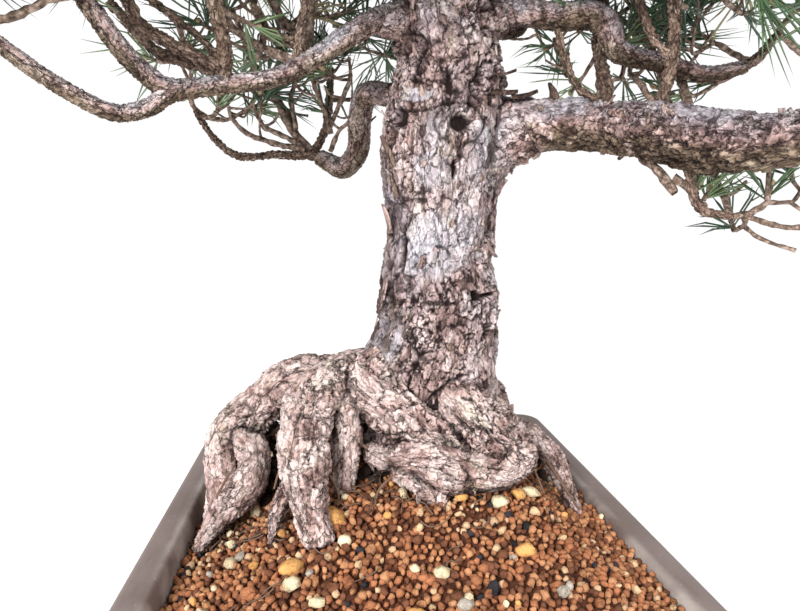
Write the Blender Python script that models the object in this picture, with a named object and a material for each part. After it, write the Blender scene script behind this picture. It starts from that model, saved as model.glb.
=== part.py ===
"""Japanese black pine bonsai, a whole tree in an unglazed clay pot.

The tree stands on a mound of coarse soil.  Its trunk flares into roots that arch down to
the mound, and bare boughs carry layered masses of twigs and needles up to a full crown.
Design values are millimetres; meshes are written in metres.  +Z is up, the front of the
tree faces -Y, and the origin is the middle of the pot's footprint on the ground.
"""
import math
import random

import bmesh
import bpy
import numpy as np
from mathutils import Vector

MM = 0.001
GAP = 0.3                      # clearance between pieces that touch
WELD = 0.000001                # metres
SEED = 20

# Pot
POT_WIDTH = 240.0
POT_DEPTH = 300.0
POT_HEIGHT = 80.0
CORNER_RADIUS = 15.0
CORNER_STEPS = 3
FOOT_HEIGHT = 8.0
FLOOR_THICKNESS = 8.0
LIP_WIDTH = 14.0
LIP_DEPTH = 11.0
WALL_TAPER = 14.0              # how far the foot of the wall lies inside the rim
INNER_TAPER = 8.0              # how far the inner wall draws in from the lip to the floor
FOOT_SIZE = (44.0, 30.0)
FOOT_INSET = 22.0
DRAIN_RADIUS = 11.0
DRAIN_OFFSET = 70.0

# Soil mound
SOIL_EDGE = 74.0               # mean height of the soil at the pot's wall
SOIL_TILT = 4.0                # the right edge is this much higher, the left one lower
MOUND_CENTRE = (8.0, 18.0)
MOUND_HALF = (52.0, 56.0)
MOUND_TOP = 102.0
MOUND_POWER = 1.8
MOUND_RINGS = 5

# Trunk: x, y, z and radius, from below the soil to the tip
TRUNK = [
    (26, 24, 92, 41), (24, 24, 110, 38), (20, 24, 127, 36), (17, 23, 143, 36),
    (20, 23, 158, 33), (23, 23, 172, 30), (24, 23, 189, 30), (23, 23, 207, 27),
    (24, 23, 228, 26), (24, 23, 248, 28), (25, 23, 266, 30), (26, 23, 283, 29),
    (27, 23, 300, 25.5), (25, 23, 321, 23.5), (22, 24, 345, 21), (14, 28, 380, 17.5),
    (5, 26, 415, 15), (4, 17, 455, 12), (6, 9, 495, 8.5), (3, 4, 530, 5.5), (2, 2, 552, 3.5),
]
TRUNK_SIDES = 12

# Surface roots, each from inside the trunk's foot to below the soil
ROOTS = {
    "far_left": [(2, 24, 146, 12), (-20, 25, 148, 11), (-38, 26, 146, 9.5), (-53, 28, 144, 9),
                 (-67, 29, 134, 10), (-78, 27, 123, 11), (-86, 24, 111, 10.5), (-89, 20, 99, 9),
                 (-91, 16, 88, 7.5), (-93, 12, 74, 6)],
    "far_left_fork": [(-79, 20, 117, 7.5), (-72, 12, 108, 8), (-73, 5, 100, 7.5), (-79, 0, 92, 7),
                      (-87, -4, 85, 6), (-94, -7, 77, 5), (-99, -9, 70, 3.5)],
    "left_front": [(0, 16, 150, 13), (-17, 14, 150, 11), (-30, 10, 150, 10), (-41, 0, 144, 10.5),
                   (-45, -12, 135, 10.5), (-46, -22, 127, 10), (-45, -30, 118, 10),
                   (-43, -37, 110, 9), (-41, -42, 103, 8), (-38, -46, 92, 6.5)],
    "left_front_fork": [(-45, -20, 120, 5.5), (-50, -28, 113, 5), (-55, -33, 106, 4.5),
                        (-58, -35, 99, 4), (-60, -35, 86, 3)],
    "middle": [(-8, 12, 150, 9), (-14, 8, 147, 9), (-22, 3, 140, 7.5), (-25, -2, 133, 7),
               (-26, -7, 125, 7), (-26, -11, 116, 6.5), (-27, -14, 104, 5.5), (-28, -15, 92, 5)],
    "diagonal": [(6, 14, 158, 12), (-5, 11, 154, 12), (-14, 6, 149, 13), (-8, -1, 142, 13),
                 (5, -8, 133, 12), (17, -13, 125, 10.5), (28, -15, 117, 8.5)],
    "elbow": [(20, 10, 162, 13), (22, 4, 152, 13.5), (24, -1, 144, 13), (32, -8, 135, 13),
              (42, -15, 126, 12.5), (50, -20, 118, 11), (46, -24, 111, 9), (30, -26, 113, 9),
              (16, -27, 116, 9), (3, -24, 118, 8), (-8, -16, 117, 6.5), (-14, -5, 114, 5)],
    "elbow_under": [(-4, -18, 120, 5.5), (-2, -25, 114, 5), (7, -30, 109, 4), (14, -31, 102, 3.5),
                    (19, -30, 94, 3)],
    "right": [(35, 20, 138, 10), (43, 20, 133, 9.5), (54, 18, 126, 8), (65, 14, 117, 6),
              (74, 12, 112, 6), (81, 9, 105, 6), (86, 4, 96, 5), (89, -1, 87, 4.5),
              (92, -6, 78, 3.5), (93, -8, 70, 3)],
    "back_right": [(28, 34, 158, 15), (46, 52, 136, 15), (62, 68, 114, 11), (76, 84, 96, 8),
                   (84, 94, 76, 6)],
    "back": [(20, 36, 160, 15), (12, 60, 134, 15), (3, 80, 112, 11), (-3, 100, 92, 8),
             (-6, 112, 74, 6)],
    "back_left": [(8, 34, 152, 15), (-18, 54, 130, 14), (-44, 70, 110, 11), (-62, 82, 94, 7.5),
                  (-74, 90, 74, 6)],
}
ROOT_SIDES = 8

# Boughs with a shape of their own
BOUGHS = {
    "right_low": [(24, 23, 270, 18), (44, 23, 275, 15), (58, 16, 275, 12.5), (77, -2, 273, 11),
                  (91, -14, 271, 10.5), (106, -32, 267, 11), (117, -55, 260, 11.5),
                  (133, -74, 258, 9.5), (151, -90, 262, 7.5), (166, -101, 269, 6)],
    "right_high": [(25, 23, 326, 9), (47, 20, 328, 6.5), (61, 15, 328, 6), (79, 10, 325, 6.2),
                   (92, 5, 325, 6.5), (100, 2, 319, 6), (103, 0, 309, 5.3), (112, 0, 305, 4.6),
                   (126, 0, 303, 4.2), (149, 0, 298, 3.8), (172, 4, 303, 3.4)],
    "left_high": [(25, 23, 328, 9), (2, 16, 325, 6), (-10, 8, 320, 5.2), (-24, 0, 310, 4.7),
                  (-35, -6, 301, 4.3), (-48, -12, 292, 4), (-59, -18, 287, 3.8), (-77, -26, 283, 3.8),
                  (-94, -33, 280, 4), (-105, -37, 288, 3.8), (-112, -41, 297, 3.7),
                  (-121, -46, 312, 3.5)],
    "left_fork": [(-88, -31, 281, 3.6), (-95, -34, 277, 3.5), (-101, -37, 272, 3.4),
                  (-110, -42, 269, 3.3), (-118, -47, 271, 3.2), (-134, -53, 281, 3),
                  (-150, -58, 294, 2.8)],
    "left_back": [(22, 28, 290, 8), (2, 42, 293, 6), (-11, 60, 297, 6.1), (-15, 68, 285, 6.3),
                  (-16, 72, 268, 6.1), (-24, 76, 258, 5.9), (-32, 80, 261, 5.3), (-39, 82, 265, 4.7)],
}
FORK_OF = {"left_fork": "left_high"}

# Boughs that follow one rule: height on the trunk, direction (0 = +X, 90 = +Y), reach, rise, radius
RULE_BOUGHS = {
    "back_right": (340, 48, 95, 14, 6.5),
    "back_low": (352, 96, 72, 10, 6.5),
    "left_back_high": (378, 146, 90, 14, 6.0),
    "front": (384, 262, 82, 22, 6.0),
    "front_left": (400, 212, 92, 24, 5.5),
    "front_right": (404, 322, 92, 20, 5.5),
    "right_upper": (420, 18, 98, 22, 5.2),
    "back_upper": (438, 88, 72, 22, 4.8),
    "left_upper": (450, 178, 80, 24, 4.6),
    "top_right": (482, 345, 42, 20, 3.4),
    "top_left": (496, 205, 40, 20, 3.0),
}
RULE_SAG = 6.0                 # a bough dips this far before it rises
BOUGH_SIDES = 8
SHOOT_SIDES = 4

# Foliage masses: centre, half sizes, the limb that carries it, and its bare leading shoots.
# A shoot is a path of x, y, z, radius; the first shoot starts inside the limb.
MASSES = {
    "left_low": ((-197, -74, 326), (84, 76, 52), "left_fork", [
        [(-144, -56, 289, 2.6), (-157, -60, 300, 2.5), (-176, -68, 314, 2.2)]]),
    "left_mid": ((-150, -44, 372), (78, 74, 48), "left_high", [
        [(-119, -45, 308, 3.2), (-125, -46, 322, 3), (-138, -46, 344, 2.6)]]),
    "left_twigs": ((-86, -18, 366), (64, 66, 50), "left_high", [
        [(-74, -25, 284, 3.2), (-73, -26, 294, 3.2), (-74, -28, 304, 3.4), (-78, -30, 330, 3.2)],
        [(-73, -25, 289, 3), (-92, -29, 297, 3), (-104, -33, 305, 3), (-110, -36, 320, 2.8)],
        [(-73, -25, 287, 2.8), (-91, -19, 294, 2.8), (-104, -17, 299, 2.8), (-121, -13, 318, 2.6)],
        [(-73, -25, 290, 2.2), (-83, -22, 302, 2), (-106, -15, 320, 2)]]),
    "left_inner": ((-34, -8, 372), (52, 60, 46), "left_high", [
        [(-45, -10, 293, 2.8), (-44, -7, 307, 2.6), (-40, -7, 326, 2.2)],
        [(-44, -7, 306, 2.2), (-57, -4, 310, 2.2), (-64, -4, 322, 2)]]),
    "left_back": ((-84, 112, 318), (92, 78, 62), "left_back", [
        [(-36, 81, 264, 3.8), (-46, 83, 266, 3.6), (-69, 88, 266, 2.9), (-88, 92, 266, 2.8),
         (-102, 96, 277, 2.6), (-112, 98, 293, 2.4)],
        [(-47, 83, 266, 2.8), (-55, 88, 285, 2.7), (-66, 94, 305, 2.5)],
        [(-43, 82, 265, 2.8), (-34, 85, 284, 2.7), (-31, 92, 318, 2.5)]]),
    "right_low": ((193, -126, 306), (78, 80, 56), "right_low", [
        [(161, -98, 267, 5), (171, -104, 272, 4.5), (186, -112, 288, 3.5)]]),
    "right_mid": ((122, -58, 352), (66, 68, 46), "right_low", [
        [(106, -35, 270, 3.4), (111, -35, 288, 3.3), (113, -36, 301, 3), (109, -38, 330, 2.7)],
        [(112, -35, 296, 2.5), (104, -33, 306, 2.3), (97, -30, 324, 2.1)]]),
    "right_column": ((104, 34, 372), (66, 56, 46), "right_low", [
        [(92, -12, 276, 3.9), (98, -5, 287, 3.8), (101, 12, 308, 3.6), (104, 20, 336, 3.2)],
        [(95, -8, 282, 2.6), (86, -7, 287, 2.3), (81, -3, 295, 2.2), (76, 4, 318, 2)]]),
    "right_under": ((160, -44, 236), (56, 50, 34), "right_low", [
        [(114, -49, 256, 2.6), (117, -49, 242, 2.5), (122, -49, 233, 2.3), (136, -48, 230, 2)]]),
    "right_tip": ((202, 18, 338), (70, 84, 54), "right_high", [
        [(168, 3, 302, 2.9), (180, 6, 308, 2.7), (194, 12, 322, 2.3)]]),
    "top": ((4, 4, 560), (62, 58, 44), "trunk", [
        [(2.2, 2.4, 546, 2.8), (2, 2, 562, 2.4)]]),
}
RULE_MASS_HALF = {             # half sizes of the masses on rule boughs
    "back_right": (84, 78, 52), "back_low": (84, 70, 52), "left_back_high": (78, 70, 48),
    "front": (84, 76, 48), "front_left": (76, 72, 46), "front_right": (76, 74, 46),
    "right_upper": (76, 74, 46), "back_upper": (76, 68, 46), "left_upper": (74, 72, 44),
    "top_right": (64, 62, 42), "top_left": (62, 60, 42),
}
RULE_MASS_LIFT = 16.0          # a rule mass lies this far above and
RULE_MASS_OUT = 42.0           # this far beyond its bough's tip

# Sprays of needles
SPRAYS_PER_MASS = 9
SPRAY_FILL = 0.64              # sprays stand inside this share of a mass's half sizes
SPRAY_TRIALS = 160             # free places that a mass's sprays are chosen from
SPARE_SPRAYS = 1               # tried beyond the number, for those that find no way
SPRAY_ROOM = 6.0
SHORTEST_TWIG = 14.0
NEEDLE_LENGTH = 42.0
NEEDLE_SHORTER = (1.0, 0.75, 0.5)
NEEDLE_RADIUS = 1.2
FEWEST_NEEDLES = 4
NEEDLE_CLEARANCE = 2.6         # needles of one mass keep this far apart beyond their roots
SPRAY_CORE = 3.0
SPRAY_SIDES = 5
SPRAY_SWEEP = 0.45             # how far the needles lean along their shoot
TWIG_RADIUS = 1.8              # the thickest twig
TWIG_SLIMMER = 0.78            # a twig's radius as a share of the limb it leaves
TWIG_TAPER = 0.8
TWIG_LIFT = 0.35               # twigs leave this share of their length nearer the mass's stem
LIMB_CLEARANCE = 1.6
MASS_MARGIN = 0.07             # share of a mass's half size kept free between two masses


# ---------------------------------------------------------------- scene helpers
def clear_scene():
    for item in list(bpy.data.objects):
        bpy.data.objects.remove(item, do_unlink=True)


def new_collection(name):
    collection = bpy.data.collections.new(name)
    bpy.context.scene.collection.children.link(collection)
    return collection


def principled(name, colour, roughness):
    finish = bpy.data.materials.new(name)
    finish.use_nodes = True
    shader = finish.node_tree.nodes["Principled BSDF"]
    shader.inputs["Base Color"].default_value = (*colour, 1.0)
    shader.inputs["Roughness"].default_value = roughness
    shader.inputs["Metallic"].default_value = 0.0
    return finish


def add_object(name, mesh, collection, finish=None):
    piece = bpy.data.objects.new(name, mesh)
    collection.objects.link(piece)
    if finish:
        mesh.materials.clear()
        mesh.materials.append(finish)
    return piece


def mesh_from(shape, name):
    mesh = bpy.data.meshes.new(name)
    shape.to_mesh(mesh)
    shape.free()
    return mesh


def evaluated_copy(piece):
    graph = bpy.context.evaluated_depsgraph_get()
    return bpy.data.meshes.new_from_object(piece.evaluated_get(graph))


def tidy(mesh):
    """Weld what a Boolean left apart, and keep only the largest body."""
    shape = bmesh.new()
    shape.from_mesh(mesh)
    bmesh.ops.remove_doubles(shape, verts=shape.verts, dist=WELD)
    bmesh.ops.triangulate(shape, faces=shape.faces)
    waiting = set(shape.faces)
    bodies = []
    while waiting:
        body = [waiting.pop()]
        for face in body:
            for edge in face.edges:
                for other in edge.link_faces:
                    if other in waiting:
                        waiting.discard(other)
                        body.append(other)
        bodies.append(body)
    bodies.sort(key=len)
    for body in bodies[:-1]:
        bmesh.ops.delete(shape, geom=body, context="FACES")
    shape.to_mesh(mesh)
    shape.free()


def combine(piece, operation, others, solver="EXACT"):
    """Apply one Boolean of a collection of objects to a piece, then remove those objects."""
    helpers = bpy.data.collections.new("combine")
    for other in others:
        helpers.objects.link(other)
    cut = piece.modifiers.new("combine", "BOOLEAN")
    cut.operation = operation
    cut.operand_type = "COLLECTION"
    cut.collection = helpers
    cut.solver = solver
    bpy.context.view_layer.update()
    mesh = evaluated_copy(piece)
    piece.modifiers.remove(cut)
    piece.data = mesh
    for other in list(helpers.objects):
        bpy.data.objects.remove(other, do_unlink=True)
    bpy.data.collections.remove(helpers)
    tidy(piece.data)


# ---------------------------------------------------------------- limbs
def smooth_path(points, steps):
    """Catmull-Rom path through x, y, z, radius, with a number of steps between two points."""
    knots = [np.array(p, float) for p in points]
    knots = [2 * knots[0] - knots[1]] + knots + [2 * knots[-1] - knots[-2]]
    path = []
    for before, start, end, after in zip(knots, knots[1:], knots[2:], knots[3:]):
        for step in range(steps):
            t = step / steps
            path.append(0.5 * (2 * start + (end - before) * t
                               + (2 * before - 5 * start + 4 * end - after) * t ** 2
                               + (3 * start - before - 3 * end + after) * t ** 3))
    path.append(knots[-2])
    return path


def limb(name, points, sides, collection, steps=1, swell=0.0, finish=None):
    """A tapering limb: a curve with a round bevel, made a closed mesh."""
    path = smooth_path(points, steps)
    if swell:
        for end, inner in ((0, 1), (-1, -2)):
            along = path[end][:3] - path[inner][:3]
            path[end][:3] += along / np.linalg.norm(along) * swell
    curve = bpy.data.curves.new(name, "CURVE")
    curve.dimensions = "3D"
    curve.bevel_depth = MM
    curve.bevel_resolution = sides // 2 - 2
    curve.use_fill_caps = True
    spline = curve.splines.new("POLY")
    spline.points.add(len(path) - 1)
    for point, (x, y, z, radius) in zip(spline.points, path):
        point.co = (x * MM, y * MM, z * MM, 1.0)
        point.radius = radius + swell
    source = add_object(name + "_curve", curve, collection)
    bpy.context.view_layer.update()
    mesh = evaluated_copy(source)
    bpy.data.objects.remove(source, do_unlink=True)
    shape = bmesh.new()
    shape.from_mesh(mesh)
    bmesh.ops.remove_doubles(shape, verts=shape.verts, dist=0.00001)
    bmesh.ops.recalc_face_normals(shape, faces=shape.faces)
    shape.to_mesh(mesh)
    shape.free()
    return add_object(name, mesh, collection, finish)


def trunk_axis(height):
    """The middle of the trunk at a height, read from its path."""
    below = [p for p in TRUNK if p[2] <= height][-1]
    above = [p for p in TRUNK if p[2] > height][0]
    share = (height - below[2]) / (above[2] - below[2])
    return [a + (b - a) * share for a, b in zip(below, above)]


def rule_bough(height, direction, reach, rise, radius):
    """A bough that leaves the trunk level, dips a little and rises to its tip."""
    x, y, z, _ = trunk_axis(height)
    angle = math.radians(direction)
    path = []
    for share, lift in ((0, 0), (0.3, -0.4), (0.55, -1.0), (0.8, -0.2), (1.0, 1.0)):
        drop = RULE_SAG * lift if lift < 0 else rise * lift
        bend = 7.0 * math.sin(share * math.pi * 2)
        path.append((x + reach * share * math.cos(angle) - bend * math.sin(angle),
                     y + reach * share * math.sin(angle) + bend * math.cos(angle),
                     z + drop, radius * (1.25 - 0.7 * share)))
    return path


def all_boughs():
    boughs = dict(BOUGHS)
    for name, values in RULE_BOUGHS.items():
        boughs["rule_" + name] = rule_bough(*values)
    return boughs


def all_masses():
    """Every mass as centre, half sizes, limb and shoots, with the rule boughs' own added."""
    masses = dict(MASSES)
    for name, half in RULE_MASS_HALF.items():
        path = rule_bough(*RULE_BOUGHS[name])
        before, tip = np.array(path[-2][:3]), np.array(path[-1][:3])
        angle = math.radians(RULE_BOUGHS[name][1])
        outward = np.array([math.cos(angle), math.sin(angle), 0.0])
        centre = tip + outward * RULE_MASS_OUT + np.array([0, 0, RULE_MASS_LIFT])
        along = (tip - before) / np.linalg.norm(tip - before)
        radius = path[-1][3] * 0.8
        shoot = [(*(tip - along * 4), radius), (*(tip + along * 8), radius),
                 (*(tip * 0.55 + centre * 0.45), radius * 0.8)]
        masses[name] = (tuple(centre), half, "rule_" + name, [shoot])
    return masses


# ---------------------------------------------------------------- foliage
class Crown:
    """Says which mass owns a place, and which places the limbs fill."""

    def __init__(self, boughs, masses):
        self.names = list(masses)
        self.centres = np.array([masses[n][0] for n in self.names], float)
        self.halves = np.array([masses[n][1] for n in self.names], float)
        self.fixed = self.samples([TRUNK] + list(ROOTS.values()) + list(boughs.values()))
        self.shoots = {n: self.samples(masses[n][3]) for n in self.names}
        self.grown = np.empty((0, 3))

    @staticmethod
    def samples(paths):
        return np.array([p for path in paths for p in smooth_path(path, 6)])

    def share(self, place):
        """Squared distance from each mass's centre, in its own half sizes."""
        return (((place - self.centres) / self.halves) ** 2).sum(axis=1)

    def owned(self, index, place, inside=True):
        shares = self.share(place)
        others = np.delete(shares, index).min()
        if not inside and others > 1.1:
            return True
        return (shares[index] < 1.0 or not inside) and others - shares[index] > MASS_MARGIN * 2

    def clear(self, index, place, radius):
        name = self.names[index]
        limbs = [self.fixed] + [s for n, s in self.shoots.items() if n != name]
        every = np.concatenate(limbs)
        gaps = np.linalg.norm(every[:, :3] - place, axis=1) - every[:, 3]
        return gaps.min() > radius + LIMB_CLEARANCE

    @staticmethod
    def along(start, end, skip=0.0):
        """Places on a straight line, a few millimetres apart, after its first share."""
        count = max(3, int(np.linalg.norm(end - start) / 3.0))
        return [start + (end - start) * step / count
                for step in range(count + 1) if step >= skip * count]

    def open_way(self, index, start, end, radius, inside=True, skip=0.2):
        for place in self.along(start, end, skip):
            if not (self.owned(index, place, inside) and self.clear(index, place, radius)):
                return False
            if len(self.grown) and np.linalg.norm(self.grown - place, axis=1).min() < NEEDLE_CLEARANCE:
                return False
        return True

    def fill(self, start, end):
        """Remember that a twig or a needle stands here."""
        self.grown = np.concatenate([self.grown, self.along(start, end)])


def spray_places(crown, index, centre, half, tips, rng):
    """Seeded places in a mass, each as far as it can be from the shoots' tips and the others."""
    free = []
    while len(free) < SPRAY_TRIALS:
        point = np.array([rng.uniform(-1, 1) for _ in range(3)])
        place = np.array(centre) + point * np.array(half) * SPRAY_FILL
        if np.dot(point, point) < 1 and crown.owned(index, place) and crown.clear(index, place, SPRAY_ROOM):
            free.append(place)
    chosen = list(tips)
    while len(chosen) < SPRAYS_PER_MASS + len(tips) + SPARE_SPRAYS:
        chosen.append(max(free, key=lambda p: min(np.linalg.norm(p - c) for c in chosen)))
    return chosen[len(tips):]


def twig(start, end, radii, name, collection):
    """A straight three-sided twig."""
    along = Vector(end - start)
    shape = bmesh.new()
    bmesh.ops.create_cone(shape, cap_ends=True, segments=3, radius1=radii[0] * MM,
                          radius2=radii[1] * MM, depth=along.length * MM)
    bmesh.ops.rotate(shape, verts=shape.verts,
                     matrix=along.to_track_quat("Z", "Y").to_matrix())
    bmesh.ops.translate(shape, verts=shape.verts, vec=Vector((start + end) / 2) * MM)
    return add_object(name, mesh_from(shape, name), collection)


def spray(crown, index, place, along, name, collection):
    """A slim core with needles standing out of it; None where fewer than four needles fit."""
    turn = Vector(along).to_track_quat("Z", "Y")
    shape = bmesh.new()
    bmesh.ops.create_uvsphere(shape, u_segments=SPRAY_SIDES, v_segments=2, radius=SPRAY_CORE * MM)
    bmesh.ops.rotate(shape, verts=shape.verts, matrix=turn.to_matrix())
    needles = []
    for face in list(shape.faces):
        outward = face.normal + Vector(along) * SPRAY_SWEEP
        outward.normalize()
        root = np.array(face.calc_center_median()) / MM + place
        for share in NEEDLE_SHORTER:
            tip = root + np.array(outward) * NEEDLE_LENGTH * share
            if crown.open_way(index, root, tip, NEEDLE_RADIUS):
                poked = bmesh.ops.poke(shape, faces=[face])
                poked["verts"][0].co = Vector(tip - place) * MM
                needles.append((root, tip))
                break
    if len(needles) < FEWEST_NEEDLES:
        shape.free()
        return None
    for root, tip in needles:
        crown.fill(root, tip)
    bmesh.ops.translate(shape, verts=shape.verts, vec=Vector(place) * MM)
    return add_object(name, mesh_from(shape, name), collection)


def mass(crown, index, data, boughs, collection, helpers, finish):
    """Twigs that branch from one stem by a seeded rule, with sprays of needles fused on."""
    name = crown.names[index]
    centre, half, carrier, shoots = data
    rng = random.Random(SEED + index)
    pieces = []
    grown = []
    crown.grown = np.empty((0, 3))
    path = TRUNK if carrier == "trunk" else boughs[carrier]
    sides = TRUNK_SIDES if carrier == "trunk" else BOUGH_SIDES
    for number, path_of_shoot in enumerate(shoots):
        piece = limb("%s_shoot_%d" % (name, number), path_of_shoot, SHOOT_SIDES, helpers)
        cutter = limb(name + "_cutter", path, sides, helpers, swell=GAP)
        helpers.objects.unlink(cutter)
        combine(piece, "DIFFERENCE", [cutter])
        pieces.append(piece)
        line = smooth_path(path_of_shoot, 4)
        grown += line[2 if number == 0 else 0:]
        for start, end in zip(line, line[1:]):
            crown.fill(start[:3], end[:3])
    tips = [np.array(path[-1][:3], float) for path in shoots]
    places = spray_places(crown, index, centre, half, tips, rng)
    places = tips + sorted(places, key=lambda p: np.linalg.norm(p - tips[0]))
    sprays = 0
    for number, place in enumerate(places):
        if sprays >= SPRAYS_PER_MASS + len(tips) - 1:
            break
        own_tip = number < len(tips)
        reach = [np.linalg.norm(place - p[:3]) + TWIG_LIFT * np.linalg.norm(p[:3] - tips[0])
                 for p in grown]
        root = grown[int(np.argmin(reach))]
        if not own_tip and (np.linalg.norm(place - root[:3]) < SHORTEST_TWIG
                            or not crown.open_way(index, root[:3], place, TWIG_RADIUS, False)):
            continue
        along = place - (np.array(shoots[number][-2][:3]) if own_tip else root[:3])
        along = along / np.linalg.norm(along) + np.array([0, 0, 0.5])
        along /= np.linalg.norm(along)
        piece = spray(crown, index, place, along, "%s_spray_%d" % (name, number), helpers)
        if piece is None:
            continue
        pieces.append(piece)
        sprays += 1
        if not own_tip:
            radius = min(TWIG_RADIUS, root[3] * TWIG_SLIMMER)
            radii = (radius, radius * TWIG_TAPER)
            pieces.append(twig(root[:3], place, radii, "%s_twig_%d" % (name, number), helpers))
            crown.fill(root[:3], place)
            for share in (0.35, 0.6, 0.8):
                point = root[:3] + (place - root[:3]) * share
                grown.append(np.array([*point, radii[1]]))
    whole = pieces.pop(0)
    for piece in pieces:
        helpers.objects.unlink(piece)
    combine(whole, "UNION", pieces, "MANIFOLD")
    whole.name = "foliage_" + name
    whole.data.name = whole.name
    whole.data.materials.clear()
    whole.data.materials.append(finish)
    helpers.objects.unlink(whole)
    collection.objects.link(whole)
    return whole, sprays


# ---------------------------------------------------------------- pot and soil
def rounded_ring(half_x, half_y, corner, centre=(0.0, 0.0)):
    """Points round a rectangle with round corners, the same number for every ring."""
    points = []
    for number, (sign_x, sign_y) in enumerate(((1, 1), (-1, 1), (-1, -1), (1, -1))):
        for step in range(CORNER_STEPS + 1):
            angle = math.pi / 2 * (number + step / CORNER_STEPS)
            points.append((centre[0] + sign_x * (half_x - corner) + corner * math.cos(angle),
                           centre[1] + sign_y * (half_y - corner) + corner * math.sin(angle)))
    return points


def pot_ring(inset):
    corner = max(CORNER_RADIUS - inset * 0.45, 3.0)
    return rounded_ring(POT_WIDTH / 2 - inset, POT_DEPTH / 2 - inset, corner)


def loft(rings, name):
    """Skin closed rings of points, one above the next, and fill the first and the last."""
    shape = bmesh.new()
    loops = [[shape.verts.new(Vector(point) * MM) for point in ring] for ring in rings]
    for lower, upper in zip(loops, loops[1:]):
        for here in range(len(lower)):
            after = (here + 1) % len(lower)
            shape.faces.new((lower[here], lower[after], upper[after], upper[here]))
    shape.faces.new(reversed(loops[0]))
    shape.faces.new(loops[-1])
    return mesh_from(shape, name)


def wall_inset(height):
    """How far the pot's inner wall lies inside the rim at a height."""
    top, bottom = POT_HEIGHT - 1.0, FOOT_HEIGHT + FLOOR_THICKNESS
    share = (top - height) / (top - bottom)
    return LIP_WIDTH + 1.0 + share * INNER_TAPER


def make_pot(collection, helpers, finish):
    profile = [
        (WALL_TAPER, FOOT_HEIGHT), (WALL_TAPER - 1.0, FOOT_HEIGHT + 2.0),
        (4.5, POT_HEIGHT - LIP_DEPTH - 2.0), (1.2, POT_HEIGHT - LIP_DEPTH),
        (0.4, POT_HEIGHT - LIP_DEPTH + 1.5), (0.0, POT_HEIGHT - 2.2), (1.6, POT_HEIGHT),
        (LIP_WIDTH, POT_HEIGHT), (LIP_WIDTH + 1.0, POT_HEIGHT - 1.0),
        (wall_inset(FOOT_HEIGHT + FLOOR_THICKNESS), FOOT_HEIGHT + FLOOR_THICKNESS),
    ]
    rings = [[(x, y, height) for x, y in pot_ring(inset)] for inset, height in profile]
    piece = add_object("pot", loft(rings, "pot"), collection, finish)
    feet = []
    for side_x in (-1, 1):
        for side_y in (-1, 1):
            shape = bmesh.new()
            bmesh.ops.create_cube(shape, size=MM)
            bmesh.ops.scale(shape, verts=shape.verts, vec=(FOOT_SIZE[0], FOOT_SIZE[1], FOOT_HEIGHT + 1))
            bmesh.ops.bevel(shape, geom=[e for e in shape.edges if abs(
                e.verts[0].co.z - e.verts[1].co.z) > MM], offset=4 * MM, segments=2,
                affect="EDGES", profile=0.5, material=-1)
            place = (side_x * (POT_WIDTH / 2 - FOOT_INSET - FOOT_SIZE[0] / 2),
                     side_y * (POT_DEPTH / 2 - FOOT_INSET - FOOT_SIZE[1] / 2), (FOOT_HEIGHT + 1) / 2)
            bmesh.ops.translate(shape, verts=shape.verts, vec=Vector(place) * MM)
            feet.append(bpy.data.objects.new("foot", mesh_from(shape, "foot")))
    combine(piece, "UNION", feet)
    drains = []
    for offset in (-DRAIN_OFFSET, DRAIN_OFFSET):
        shape = bmesh.new()
        bmesh.ops.create_cone(shape, cap_ends=True, segments=16, radius1=DRAIN_RADIUS * MM,
                              radius2=DRAIN_RADIUS * MM, depth=4 * FLOOR_THICKNESS * MM)
        bmesh.ops.translate(shape, verts=shape.verts, vec=Vector((0, offset, FOOT_HEIGHT)) * MM)
        drains.append(bpy.data.objects.new("drain", mesh_from(shape, "drain")))
    combine(piece, "DIFFERENCE", drains)
    return piece


def soil_mesh(name, lift=0.0):
    """The soil fills the pot, and its mound rises to a flat top under the trunk."""
    bottom = FOOT_HEIGHT + FLOOR_THICKNESS + GAP
    rings = [[(x, y, bottom) for x, y in pot_ring(wall_inset(bottom) + 0.4)]]
    half_width = POT_WIDTH / 2 - LIP_WIDTH
    edge = []
    for number, (x, _) in enumerate(pot_ring(LIP_WIDTH)):
        height = SOIL_EDGE + SOIL_TILT * x / half_width
        edge.append((*pot_ring(wall_inset(height) + 0.4)[number], height + lift))
    rings.append(edge)
    inner = (POT_WIDTH / 2 - LIP_WIDTH - 2.0, POT_DEPTH / 2 - LIP_WIDTH - 2.0)
    for step in range(1, MOUND_RINGS + 1):
        share = step / MOUND_RINGS
        half = [a + (b - a) * share for a, b in zip(inner, MOUND_HALF)]
        centre = [c * share for c in MOUND_CENTRE]
        corner = 12.0 + (min(MOUND_HALF) * 0.8 - 12.0) * share
        ring = []
        for x, y in rounded_ring(*half, corner, centre):
            start = SOIL_EDGE + SOIL_TILT * x / half_width
            ring.append((x, y, start + (MOUND_TOP - start) * share ** MOUND_POWER + lift))
        rings.append(ring)
    return loft(rings, name)


# ---------------------------------------------------------------- the tree
def make_trunk(collection, helpers, finish):
    """Trunk and root flare in one piece, cut level where it stands on the mound."""
    piece = limb("trunk", TRUNK, TRUNK_SIDES, collection, finish=finish)
    roots = [limb("root_" + name, path, ROOT_SIDES, helpers) for name, path in ROOTS.items()]
    for root in roots:
        helpers.objects.unlink(root)
    combine(piece, "UNION", roots)
    ground = bpy.data.objects.new("ground", soil_mesh("ground", GAP))
    combine(piece, "DIFFERENCE", [ground])
    piece.data.materials.clear()
    piece.data.materials.append(finish)
    return piece


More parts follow.
